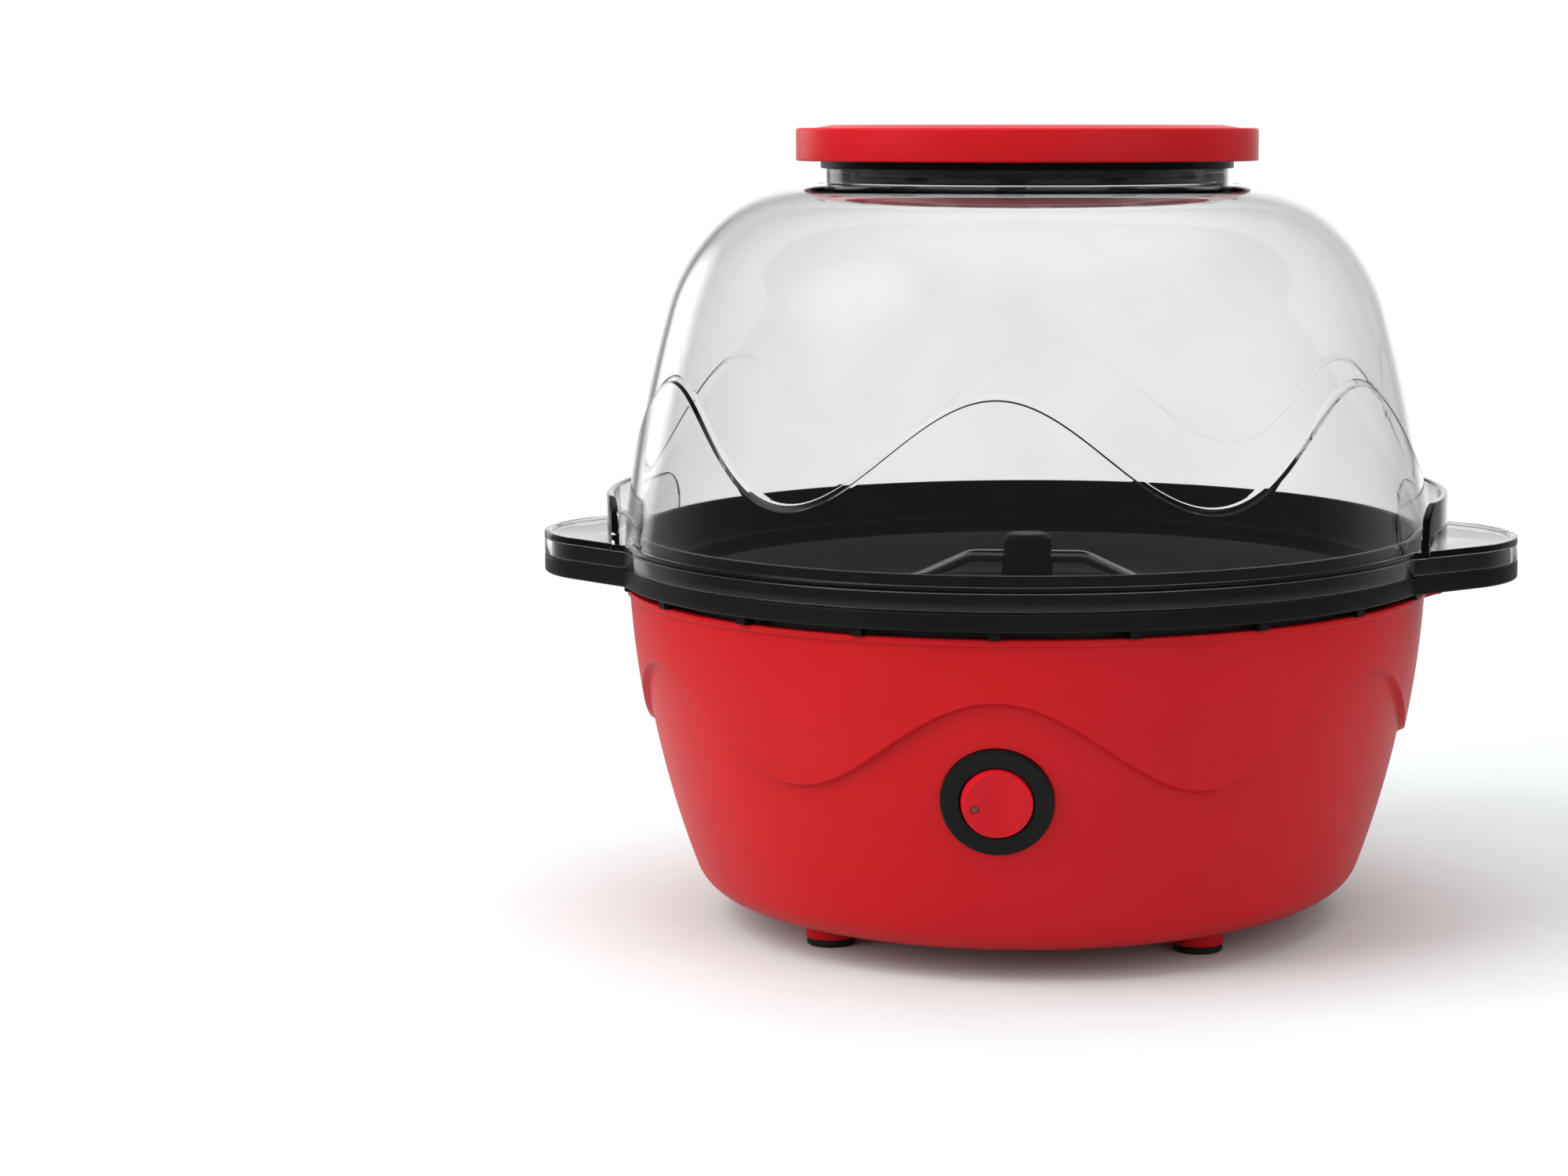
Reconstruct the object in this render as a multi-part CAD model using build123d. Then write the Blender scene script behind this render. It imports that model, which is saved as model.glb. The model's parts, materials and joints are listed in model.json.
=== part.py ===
from build123d import *
import os
from math import atan2, copysign, cos, hypot, pi, radians, sin, sqrt

# Stirring popcorn maker: a red base with a heated pan and a stirring motor, a black rim collar with two
# handles, a clear cover that turns over into a serving bowl, and a red cap that closes the cover's neck.
# Millimetres, +Z up, origin on the table under the centre, handles along X, switch on the front (-Y).

# Clearances
running_fit = 0.05
slip_fit = 0.15
loose_fit = 0.3

# Feet and bottom cover
foot_height = 9.7
foot_radius = 8.6
foot_edge = 2.0
foot_count = 4
pad_height = 2.6
pad_inset = 0.4
pad_plug_radius = 3.0
pad_plug_length = 2.4
bottom_cover_edge = 5.1
bottom_cover_wall = 2.5
bottom_lip_width = 10.0
bottom_screw_edge = 5.5
bottom_boss_radius = 4.2
bottom_boss_height = 9.0
bottom_screw_length = 9.0
vent_count = 12
vent_width = 3.6
vent_inner = 26.0
vent_outer = 46.0

# Base housing
housing_height = 106.6
housing_wall = 2.5
housing_floor_radius = 103.1
housing_corner_radius = 14.2
housing_corner_turn = 70.0
housing_top_radius = 136.0
rim_bead_height = 2.1
rim_bead_proud = 1.0
ear_reach = 7.3
ear_drop = 5.0
ear_lip = 1.4
ear_width = 26.0
ear_screw_edge = 4.5
ear_seat_wall = 1.8

# Wave that runs round the base and the cover, with a crest at the front
wave_count = 6
wave_points = 8
wave_reach = 14.0
base_wave_height = 70.2
base_wave_swing = 15.5
base_step = 2.2
base_ledge_slope = 0.6
cover_wave_height = 41.3
cover_wave_swing = 18.1
cover_step = 1.0
cover_ledge_slope = -2.2

# Rim collar
collar_overhang = 6.0
collar_wall = 2.4
rim_gap = 2.5
tab_count = 20
tab_width = 3.6
tab_inset = 1.2
band_height = 5.9
tier_height = 5.9
handle_reach = 28.0
handle_root_depth = 32.0
handle_tip_radius = 44.0
handle_flank_turn = 50.0
handle_rib_spread = 26.0
handle_boss_radius = 5.0
upstand_gap = 1.0
upstand_wall = 2.4
upstand_height = 5.1
ledge_width = 9.2
ledge_height = 3.6

# Clear cover
cover_height = 122.6
cover_wall = 2.2
cover_rim_inset = 3.2
cover_deck_inset = 65.0
cover_shoulder_radius = 46.6
cover_shoulder_turn = 45.0
cover_hip_radius = 65.4
cover_hip_turn = 74.0
skirt_wall = 2.0
skirt_gap = 0.8
skirt_lift = 0.4
wing_plate = 1.6
wing_bead = 0.8
wing_bead_width = 2.6
guard_wall = 2.5
guard_gap = 3.2
guard_height = 16.4
guard_length = 98.0
guard_corner = 9.0
neck_inset = 4.6
neck_wall = 2.2
neck_height = 15.1
mouth_lip = 4.2
steam_slot_count = 12
steam_slot_length = 10.0
steam_slot_width = 2.2

# Butter tray in the neck
tray_floor = 1.6
tray_wall = 1.5
tray_height = 2.6
tray_ring_width = 21.7
tray_cone_slope = 17.0
tray_cone_height = 7.0
drip_count = 24
drip_radius = 1.1
drip_inset = 10.7

# Cap
cap_overhang = 10.1
cap_height = 12.1
cap_wall = 2.4
cap_edge = 1.0
cap_ring_rise = 1.0
cap_ring_inset = 6.3
cap_ring_bevel = 6.0
cap_ring_width = 7.0
cap_ring_slope = 5.0
neck_band_wall = 1.4
neck_band_drop = 2.5
neck_band_flange = 2.4
neck_band_lip = 5.0

# Popping pan
pan_gasket_height = 1.5
pan_gasket_inset = 1.0
pan_flange = 2.0
pan_flange_margin = 1.0
pan_wall = 2.2
pan_depth = 14.3
pan_mouth_inset = 3.5
pan_wall_lean = 13.0
pan_corner_radius = 8.0
pan_boss_radius = 12.0
pan_boss_drop = 8.0
pan_screw_count = 4
pan_screw_grip = 3.0
pan_post_inset = 13.5
pan_post_radius = 5.0
pan_post_length = 15.8
pan_post_count = 4

# Heating element and its guards
element_circle = 72.0
element_radius = 3.4
element_arc = 310.0
element_leg = 9.0
element_pin_radius = 1.5
element_pin_length = 11.0
element_rib_wall = 3.4
thermostat_radius = 8.5
thermostat_height = 7.0
thermostat_flange = 27.0
thermostat_circle = 42.0
thermostat_angle = 200.0
fuse_radius = 2.4
fuse_length = 12.0
fuse_circle = 42.0
fuse_angle = 20.0
fuse_clip_wall = 0.8
fuse_clip_width = 5.0
fuse_clip_foot = 6.0
shield_margin = 9.0
shield_wall = 1.2
shield_lip = 6.0
shield_bore = 13.0

# Stirring drive
bracket_wall = 1.5
bracket_width = 34.0
bracket_drop = 20.8
bracket_leg_inset = 11.0
bracket_foot = 18.0
bracket_turn = 45.0
motor_radius = 25.0
motor_height = 23.0
motor_boss_radius = 7.0
motor_boss_height = 2.5
motor_ear_circle = 31.0
motor_ear_width = 12.0
motor_ear_end = 5.0
motor_plug_depth = 4.0
motor_plug_width = 12.0
motor_plug_height = 8.0
spindle_radius = 3.5
spindle_seat = 6.0
spindle_reach = 11.0
coupler_radius = 8.0
coupler_gap = 3.0
coupler_height = 15.0
shaft_radius = 4.0
shaft_flat = 1.0
shaft_rise = 17.0
shaft_end_gap = 0.4
bushing_radius = 7.0
bushing_flange_radius = 9.5
bushing_flange = 1.2
seal_height = 0.8
hub_radius = 10.0
hub_top_radius = 8.0
hub_head = 12.0
hub_edge = 2.5
rod_radius = 2.2
rod_floor_gap = 0.6
rod_wall_gap = 8.5
rod_sweep = 12.0
rod_foot = 60.0
rod_shoulder = 20.0
rod_bend = 9.0
rod_seat = 1.5

# Power switch on the front wall
switch_height = 53.6
bezel_radius = 17.9
bezel_proud = 1.0
bezel_seat = 1.5
bezel_edge = 0.8
barrel_radius = 14.0
barrel_depth = 12.0
rocker_radius = 11.6
rocker_gap = 0.3
rocker_pivot = 1.0
rocker_proud = 3.0
rocker_dish = 0.7
rocker_dish_radius = 30.0
rocker_skirt = 4.0
rocker_tilt = 7.0
rocker_pin_radius = 1.2
rocker_pin_reach = 1.2
rocker_stem_radius = 2.5
rocker_stem_length = 4.0
lens_radius = 1.3
lens_depth = 3.0
lens_out = 7.3
lens_drop = 0.9
switch_body_radius = 13.0
switch_body_depth = 14.0
blade_count = 3
blade_width = 4.8
blade_wall = 0.8
blade_length = 8.0
blade_pitch = 7.0

# Cord inlet on the rear wall, terminal block and inner leads
inlet_height = 22.3
inlet_bore = 3.7
inlet_radius = 6.6
inlet_flange_radius = 9.5
inlet_flange = 2.0
inlet_seat = 1.2
inlet_nut_radius = 9.0
inlet_nut = 4.0
inlet_land = 0.8
block_width = 30.0
block_length = 14.0
block_height = 12.0
block_out = 62.0
block_pitch = 9.0
block_hole_radius = 1.8
block_hole_depth = 5.0
lead_radius = 1.4
lead_bend = 9.0
lead_floor_gap = 6.0
lead_side = 24.0

# Screws
screw_radius = 1.7
screw_head_radius = 3.2
screw_head_height = 2.2
pilot_depth_spare = 1.0

# Levels worked out from the sizes above
floor_z = foot_height
lip_z = floor_z + bottom_cover_wall
rim_z = floor_z + housing_height
band_z = rim_z + rim_gap
deck_z = band_z + band_height
tier_z = deck_z + tier_height
wing_z = tier_z + wing_plate
cover_top_z = tier_z + cover_height
neck_z = cover_top_z + neck_height
cap_under_z = neck_z + neck_band_flange
cap_shoulder_z = cap_under_z + cap_wall - cap_ring_rise
cap_top_z = cap_under_z + cap_wall
pan_rim_z = band_z - pan_gasket_height
pan_floor_z = pan_rim_z - pan_depth
pan_under_z = pan_floor_z - pan_wall
shield_z = pan_under_z - pan_post_length
bracket_z = shield_z - shield_wall - bracket_drop
motor_z = bracket_z - bracket_wall
bushing_top_z = pan_floor_z + seal_height + bushing_flange
shaft_top_z = pan_floor_z + shaft_rise
spindle_top_z = bracket_z + motor_boss_height + spindle_reach
hub_foot_z = bushing_top_z + shaft_end_gap
rod_z = shaft_top_z + rod_radius + slip_fit + rod_seat
rod_floor_z = pan_floor_z + rod_floor_gap + rod_radius

# Radii worked out from the sizes above
collar_radius = housing_top_radius + collar_overhang
handle_tip_centre = collar_radius + handle_reach - handle_tip_radius
handle_root = collar_radius - handle_root_depth
tier_inset = skirt_wall + skirt_gap
cover_rim_radius = collar_radius - cover_rim_inset
cover_foot_radius = cover_rim_radius + cover_step
upstand_outer = cover_foot_radius - cover_wall - upstand_gap
upstand_inner = upstand_outer - upstand_wall
ledge_radius = upstand_inner - ledge_width
cover_deck_radius = cover_rim_radius - cover_deck_inset
neck_radius = cover_deck_radius - neck_inset
mouth_radius = neck_radius - neck_wall - mouth_lip
tray_radius = neck_radius - neck_wall - loose_fit
tray_cone_foot = tray_radius - tray_ring_width
tray_cone_top = tray_cone_foot - tray_cone_slope
drip_circle = tray_radius - drip_inset
cap_radius = neck_radius + cap_overhang
cap_ring_outer = cap_radius - cap_ring_inset
cap_ring_crest = cap_ring_outer - cap_ring_bevel
bottom_cover_radius = housing_floor_radius - bottom_cover_edge
bottom_screw_circle = bottom_cover_radius - bottom_screw_edge
foot_circle = bottom_cover_radius - foot_radius - foot_edge
ear_tip = housing_top_radius + base_step + ear_reach
handle_screw_out = ear_tip - ear_screw_edge
pan_mouth_radius = ledge_radius - pan_mouth_inset
pan_floor_radius = pan_mouth_radius - pan_wall_lean
pan_post_circle = pan_floor_radius - pan_post_inset
rod_reach = pan_floor_radius - rod_wall_gap
shield_radius = pan_post_circle + shield_margin
bracket_span = pan_post_circle - bracket_leg_inset
pan_slant_wall = pan_wall * hypot(pan_wall_lean, pan_depth) / pan_depth
pan_screw_circle = pan_mouth_radius + pan_slant_wall + screw_head_radius + slip_fit
pan_flange_radius = pan_screw_circle + screw_head_radius + pan_flange_margin


# Small helpers

def disc(radius, z_low, z_high):
    solid = Cylinder(radius, z_high - z_low, align=(Align.CENTER, Align.CENTER, Align.MIN))
    return Pos(0, 0, z_low) * solid


def ring(inner, outer, z_low, z_high):
    return disc(outer, z_low, z_high) - disc(inner, z_low - 1, z_high + 1)


def turned(*edges):
    return revolve(Plane.XZ * make_face(edges), Axis.Z)


def turned_outline(*points):
    return turned(*Polyline(*points, close=True).edges())


def polar(radius, angle):
    return Vector(radius * cos(radians(angle)), radius * sin(radians(angle)))


def spread(radius, count, start=0.0):
    return [polar(radius, start + 360 * i / count) for i in range(count)]


def upright_block(width, length, z_low, z_high, centre):
    solid = Box(width, length, z_high - z_low, align=(Align.CENTER, Align.CENTER, Align.MIN))
    return Pos(centre.X, centre.Y, z_low) * solid


def screw(point, head_z, shank):
    head = disc(screw_head_radius, head_z - screw_head_height, head_z)
    return Pos(point.X, point.Y) * (head + disc(screw_radius, head_z, head_z + shank))


def bend(start, radius, turn_from, turn_to):
    """Arc of a profile that falls away from the axis: turn 0 runs outward, turn 90 runs down."""
    def point(turn):
        out = radius * (sin(radians(turn)) - sin(radians(turn_from)))
        down = radius * (cos(radians(turn_from)) - cos(radians(turn)))
        return (start[0] + out, start[1] - down)
    end = point(turn_to)
    return ThreePointArc(start, point((turn_from + turn_to) / 2), end), end


def arc_through(start, turn, end):
    """Radius and centre of the arc that leaves start, turned from level by turn degrees, and meets end.

    The radius is negative for a wall that flares outward, whose centre lies outside it.
    """
    out = end[0] - start[0]
    rise = end[1] - start[1]
    lean = 1 if rise > 0 else -1
    radius = hypot(out, rise) / (2 * sin(atan2(abs(rise), out) - radians(turn)))
    return radius, start[0] - radius * sin(radians(turn)), start[1] + lean * radius * cos(radians(turn))


def arc_reach(arc, height):
    """Distance from the axis to a wall that follows the arc, at a height."""
    radius, centre_r, centre_z = arc
    return centre_r + copysign(sqrt(radius**2 - (height - centre_z) ** 2), radius)


def wave_edge(arc, height, swing, out, lift):
    """Closed wave that follows a wall's arc, moved outward by out and upward by lift."""
    steps = wave_count * wave_points
    points = []
    for i in range(steps):
        angle = 2 * pi * i / steps
        level = height + swing * cos(wave_count * angle)
        radius = arc_reach(arc, level) + out
        points.append((radius * sin(angle), -radius * cos(angle), level + lift))
    return Spline(*points, periodic=True)


def wave_zone(arc, height, swing, slope, out, lift, depth):
    """Ring-shaped block with a wavy face across a wall; depth runs up or down from that face."""
    rise = slope * wave_reach
    inner = wave_edge(arc, height, swing, out - wave_reach, lift - rise)
    outer = wave_edge(arc, height, swing, out + wave_reach, lift + rise)
    return Solid.extrude(Face.make_surface_from_curves(inner, outer), Vector(0, 0, depth))


# Base housing

wall_foot = (
    housing_floor_radius + housing_corner_radius * sin(radians(housing_corner_turn)),
    floor_z + housing_corner_radius * (1 - cos(radians(housing_corner_turn))),
)


housing_arc = arc_through(wall_foot, housing_corner_turn, (housing_top_radius, rim_z))


def wall_plane(side, height):
    """Plane on the housing's wall, at the front (side -1) or the rear (side 1), facing outward."""
    radius, centre_r, centre_z = housing_arc
    level = floor_z + height
    reach = arc_reach(housing_arc, level)
    normal = (0, side * (reach - centre_r) / radius, (level - centre_z) / radius)
    return Plane(origin=(0, side * reach, level), x_dir=(-side, 0, 0), z_dir=normal)


def housing_bulk(offset):
    """The housing's filled form with its wall moved outward by offset."""
    corner = housing_corner_radius + offset
    start = (housing_floor_radius, floor_z - offset)
    turn = radians(housing_corner_turn)
    foot = (start[0] + corner * sin(turn), start[1] + corner * (1 - cos(turn)))
    half = turn / 2
    middle = (start[0] + corner * sin(half), start[1] + corner * (1 - cos(half)))
    top = (housing_top_radius + offset, rim_z)
    return turned(
        Line((0, start[1]), start),
        ThreePointArc(start, middle, foot),
        TangentArc(foot, top, tangent=(cos(turn), sin(turn))),
        Line(top, (0, rim_z)),
        Line((0, rim_z), (0, start[1])),
    )


def base_wave(out, lift):
    level = floor_z + base_wave_height
    return wave_zone(housing_arc, level, base_wave_swing, base_ledge_slope, out, lift, housing_height)


def housing_ear(side):
    """Low gusset under a handle, with a seat for the handle's screw."""
    root = arc_reach(housing_arc, rim_z - ear_drop) - housing_wall
    low = rim_z - ear_drop
    outline = make_face([
        Line((root, rim_z), (ear_tip, rim_z)),
        Line((ear_tip, rim_z), (ear_tip, rim_z - ear_lip)),
        Line((ear_tip, rim_z - ear_lip), (root, low)),
        Line((root, low), (root, rim_z)),
    ])
    gusset = extrude(Plane.XZ * outline, ear_width / 2, both=True)
    return gusset if side > 0 else mirror(gusset, Plane.YZ)


def base_housing():
    proud = housing_bulk(base_step) & base_wave(base_step / 2, 0)
    bead = disc(housing_top_radius + base_step + rim_bead_proud, rim_z - rim_bead_height, rim_z)
    outside = housing_bulk(0) + proud + bead + housing_ear(1) + housing_ear(-1)
    hollow = housing_bulk(-housing_wall)
    hollow += housing_bulk(base_step - housing_wall) & base_wave(base_step / 2 - housing_wall, housing_wall)
    body = outside - hollow
    body -= disc(bottom_cover_radius + loose_fit, 0, lip_z)
    lip_inner = bottom_cover_radius - bottom_lip_width
    body += ring(lip_inner, bottom_cover_radius + housing_wall, lip_z, lip_z + housing_wall)
    for point in spread(bottom_screw_circle, foot_count):
        body += Pos(point.X, point.Y) * disc(bottom_boss_radius, lip_z, lip_z + bottom_boss_height)
        pilot = disc(screw_radius + running_fit, 0, lip_z + bottom_screw_length)
        body -= Pos(point.X, point.Y) * pilot
    for side in (-1, 1):
        ear_seat = rim_z - ear_seat_wall
        body -= Pos(side * handle_screw_out, 0) * disc(screw_head_radius + loose_fit, floor_z, ear_seat)
        body -= Pos(side * handle_screw_out, 0) * disc(screw_radius + slip_fit, floor_z, rim_z + 1)
    front = wall_plane(-1, switch_height)
    body -= front * disc(bezel_radius + loose_fit, -bezel_seat, housing_wall * 2)
    body -= front * disc(barrel_radius + slip_fit, -barrel_depth, housing_wall)
    rear = wall_plane(1, inlet_height)
    nut_z = -housing_wall - inlet_land
    body += rear * disc(inlet_nut_radius + inlet_land, nut_z, -inlet_seat)
    body -= rear * disc(inlet_nut_radius, nut_z - 2 * inlet_nut, nut_z)
    body -= rear * disc(inlet_flange_radius + loose_fit, -inlet_seat, housing_wall * 2)
    body -= rear * disc(inlet_radius + slip_fit, -4 * housing_wall, housing_wall)
    return body


def bottom_cover():
    plate = disc(bottom_cover_radius, floor_z, lip_z)
    for point in spread(foot_circle, foot_count, 45):
        plate += Pos(point.X, point.Y) * disc(foot_radius, pad_height, floor_z)
        socket_top = pad_height + pad_plug_length + slip_fit
        plate -= Pos(point.X, point.Y) * disc(pad_plug_radius + slip_fit, 0, socket_top)
    slot = SlotOverall(vent_outer - vent_inner, vent_width)
    cutter = Pos((vent_inner + vent_outer) / 2, 0, floor_z - 1) * extrude(slot, bottom_cover_wall + 2)
    for i in range(vent_count):
        plate -= Rot(0, 0, 360 * (i + 0.5) / vent_count) * cutter
    for point in spread(bottom_screw_circle, foot_count):
        plate -= Pos(point.X, point.Y) * disc(screw_radius + slip_fit, 0, lip_z + 1)
    return plate


def foot_pads():
    pad = disc(foot_radius - pad_inset, 0, pad_height)
    pad += disc(pad_plug_radius, pad_height, pad_height + pad_plug_length)
    return [Pos(p.X, p.Y) * pad for p in spread(foot_circle, foot_count, 45)]


def bottom_screws():
    shank = bottom_screw_length - pilot_depth_spare
    return [screw(p, floor_z, shank) for p in spread(bottom_screw_circle, foot_count)]


# Rim collar

def wing(side, inset):
    """Plan of one handle: a round tip with straight flanks that run back to the ring."""
    radius = handle_tip_radius - inset
    turn = radians(handle_flank_turn)
    tip = (handle_tip_centre + radius, 0)
    touch = (handle_tip_centre + radius * cos(turn), radius * sin(turn))
    back = touch[0] - handle_root
    root = (handle_root, touch[1] + back * cos(turn) / sin(turn))
    outline = make_face([
        ThreePointArc((touch[0], -touch[1]), tip, touch),
        Line(touch, root),
        Line(root, (root[0], -root[1])),
        Line((root[0], -root[1]), (touch[0], -touch[1])),
    ])
    return outline if side > 0 else mirror(outline, Plane.YZ)


def plan(inset, z_low, z_high):
    """The outline that collar and cover share, drawn in by inset, as a block between two heights."""
    outline = Circle(collar_radius - inset) + wing(1, inset) + wing(-1, inset)
    return Pos(0, 0, z_low) * extrude(outline, z_high - z_low)


def rim_collar():
    core = upstand_outer
    hollow = plan(collar_wall, band_z, deck_z - collar_wall)
    hollow += plan(tier_inset + collar_wall, band_z, tier_z - collar_wall)
    hollow -= disc(core, band_z - 1, tier_z)
    body = plan(0, band_z, deck_z) + plan(tier_inset, deck_z, tier_z) - hollow
    body += disc(upstand_outer, tier_z, tier_z + upstand_height)
    body -= disc(ledge_radius, band_z, tier_z + upstand_height)
    body -= turned_outline(
        (0, band_z + ledge_height),
        (ledge_radius, band_z + ledge_height),
        (upstand_inner, deck_z),
        (upstand_inner, tier_z + upstand_height),
        (0, tier_z + upstand_height),
    )
    tab_length = collar_radius - tab_inset - core + collar_wall
    tab_middle = collar_radius - tab_inset - tab_length / 2
    tab = upright_block(tab_length, tab_width, rim_z, deck_z - collar_wall / 2, Vector(tab_middle, 0))
    for i in range(tab_count):
        body += Rot(0, 0, 360 * i / tab_count - 90) * tab
    for side in (-1, 1):
        boss = disc(handle_boss_radius, rim_z, tier_z - collar_wall / 2)
        body += Pos(side * handle_screw_out, 0) * boss
        for row in (-1, 1):
            body += handle_rib(side, row)
        pilot = disc(screw_radius + running_fit, rim_z, deck_z + pilot_depth_spare)
        body -= Pos(side * handle_screw_out, 0) * pilot
    for point in spread(pan_screw_circle, pan_screw_count, 45):
        body -= Pos(point.X, point.Y) * disc(screw_radius + running_fit, rim_z, band_z + pan_screw_grip)
    return body


def handle_rib(side, row):
    """Stiffening rib under a handle, kept inside the handle's outer wall."""
    root = Vector(side * collar_radius, row * handle_rib_spread)
    bar = upright_block(2 * handle_tip_radius, collar_wall, band_z, tier_z - collar_wall / 2, root)
    inside = plan(tier_inset + collar_wall / 2, band_z, tier_z)
    return bar & (inside - disc(upstand_outer - collar_wall / 2, band_z - 1, tier_z + 1))


def handle_screws():
    head_z = rim_z - ear_seat_wall
    shank = deck_z - head_z
    return [screw(Vector(side * handle_screw_out, 0), head_z, shank) for side in (-1, 1)]


# Clear cover

def cover_bends(offset):
    """The two arcs of the cover's shoulder, with the point where the second one ends."""
    top = (cover_deck_radius, cover_top_z + offset)
    shoulder, shoulder_end = bend(top, cover_shoulder_radius + offset, 0, cover_shoulder_turn)
    hip, hip_end = bend(shoulder_end, cover_hip_radius + offset, cover_shoulder_turn, cover_hip_turn)
    return shoulder, hip, hip_end


def cover_bulk(offset):
    """The cover's filled form with its wall moved outward by offset."""
    shoulder, hip, hip_end = cover_bends(offset)
    top = (cover_deck_radius, cover_top_z + offset)
    foot = (cover_rim_radius + offset, tier_z)
    turn = radians(cover_hip_turn)
    return turned(
        Line((0, top[1]), top),
        shoulder,
        hip,
        TangentArc(hip_end, foot, tangent=(cos(turn), -sin(turn))),
        Line(foot, (0, tier_z)),
        Line((0, tier_z), (0, top[1])),
    )


def cover_wave(out):
    level = tier_z + cover_wave_height
    foot = (cover_rim_radius, tier_z)
    arc = arc_through(cover_bends(0)[-1], cover_hip_turn, foot)
    return wave_zone(arc, level, cover_wave_swing, cover_ledge_slope, out, 0, -cover_height)


def guard(side):
    """Low wall on a handle that keeps fingers off the warm cover."""
    inner = cover_foot_radius + guard_gap
    high = wing_z + guard_height
    wall = ring(inner, inner + guard_wall, tier_z, high)
    outline = FilletPolyline(
        (-guard_length / 2, tier_z),
        (-guard_length / 2, high),
        (guard_length / 2, high),
        (guard_length / 2, tier_z),
        radius=(0, guard_corner, guard_corner, 0),
        close=True,
    )
    window = extrude(Plane.YZ * make_face(outline.edges()), side * 2 * collar_radius)
    return wall & window


def cover_dome():
    skirt_z = deck_z + skirt_lift
    outside = cover_bulk(0) + (cover_bulk(cover_step) & cover_wave(cover_step / 2))
    outside += plan(0, skirt_z, wing_z) + plan(0, wing_z, wing_z + wing_bead)
    outside -= plan(wing_bead_width, wing_z, wing_z + wing_bead) - cover_bulk(cover_step)
    outside += disc(neck_radius, cover_top_z - cover_wall, neck_z)
    outside += guard(1) + guard(-1)
    hollow = cover_bulk(-cover_wall)
    hollow += cover_bulk(cover_step - cover_wall) & cover_wave(cover_step / 2 - cover_wall)
    hollow += plan(skirt_wall, skirt_z - 1, tier_z)
    hollow += disc(mouth_radius, tier_z, neck_z) + disc(neck_radius - neck_wall, cover_top_z, neck_z)
    body = outside - hollow
    slot_circle = (neck_radius + cover_deck_radius) / 2
    slot = Pos(slot_circle, 0, cover_top_z - 2 * cover_wall) * extrude(
        Rot(0, 0, 90) * SlotOverall(steam_slot_length, steam_slot_width), 3 * cover_wall
    )
    for i in range(steam_slot_count):
        body -= Rot(0, 0, 360 * i / steam_slot_count - 90) * slot
    return body


def butter_tray():
    foot = cover_top_z
    body = turned_outline(
        (tray_cone_foot - tray_wall, foot),
        (tray_radius, foot),
        (tray_radius, foot + tray_height),
        (tray_radius - tray_wall, foot + tray_height),
        (tray_radius - tray_wall, foot + tray_floor),
        (tray_cone_foot, foot + tray_floor),
        (tray_cone_top, foot + tray_cone_height),
        (0, foot + tray_cone_height),
        (0, foot + tray_cone_height - tray_wall),
        (tray_cone_top - tray_wall, foot + tray_cone_height - tray_wall),
    )
    for point in spread(drip_circle, drip_count):
        body -= Pos(point.X, point.Y) * disc(drip_radius, foot - 1, foot + tray_floor + 1)
    return body


# Cap

def cap():
    low = cap_top_z - cap_height
    outline = FilletPolyline(
        (cap_radius - cap_wall, low),
        (cap_radius, low),
        (cap_radius, cap_shoulder_z),
        (cap_ring_outer, cap_shoulder_z),
        (cap_ring_crest, cap_top_z),
        (cap_ring_crest - cap_ring_width, cap_top_z),
        (cap_ring_crest - cap_ring_width - cap_ring_slope, cap_shoulder_z),
        (0, cap_shoulder_z),
        (0, cap_under_z),
        (cap_radius - cap_wall, cap_under_z),
        radius=(0, 0, cap_edge, cap_edge, cap_edge, cap_edge, cap_edge, 0, 0, 0),
        close=True,
    )
    return turned(*outline.edges())


def cap_ring():
    inner = neck_radius + loose_fit
    low = cap_top_z - cap_height - neck_band_drop
    flange_out = cap_radius - cap_wall - loose_fit
    flange_in = neck_radius - neck_band_lip
    collar = ring(inner, inner + neck_band_wall, low, cap_under_z)
    return collar + ring(flange_in, flange_out, neck_z, cap_under_z)


# Popping pan

def popping_pan():
    bore = bushing_radius + running_fit
    outline = FilletPolyline(
        (bore, pan_floor_z),
        (pan_floor_radius, pan_floor_z),
        (pan_mouth_radius, pan_rim_z),
        (pan_flange_radius, pan_rim_z),
        (pan_flange_radius, pan_rim_z - pan_flange),
        (pan_mouth_radius + pan_slant_wall - pan_flange * pan_wall_lean / pan_depth, pan_rim_z - pan_flange),
        (pan_floor_radius + pan_slant_wall - pan_wall * pan_wall_lean / pan_depth, pan_under_z),
        (bore, pan_under_z),
        radius=(0, pan_corner_radius, 0, 0, 0, 0, pan_corner_radius + pan_wall, 0),
        close=True,
    )
    body = turned(*outline.edges())
    body += ring(bore, pan_boss_radius, pan_under_z - pan_boss_drop, pan_under_z)
    rib_half = element_radius + element_rib_wall
    groove_z = pan_under_z - element_radius - element_rib_wall / 2
    body += ring(element_circle - rib_half, element_circle + rib_half, groove_z, pan_under_z)
    body -= Pos(0, 0, groove_z) * Torus(element_circle, element_radius + running_fit)
    for point in spread(pan_post_circle, pan_post_count, 45):
        post = disc(pan_post_radius, shield_z, pan_under_z)
        post -= disc(screw_radius + running_fit, shield_z, pan_under_z - pilot_depth_spare)
        body += Pos(point.X, point.Y) * post
    for point in spread(pan_screw_circle, pan_screw_count, 45):
        hole = disc(screw_radius + slip_fit, pan_rim_z - 2 * pan_flange, pan_rim_z + 1)
        body -= Pos(point.X, point.Y) * hole
    return body


def pan_gasket():
    body = ring(ledge_radius, pan_flange_radius - pan_gasket_inset, pan_rim_z, band_z)
    for point in spread(pan_screw_circle, pan_screw_count, 45):
        body -= Pos(point.X, point.Y) * disc(screw_radius + slip_fit, pan_rim_z - 1, band_z + 1)
    return body


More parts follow.
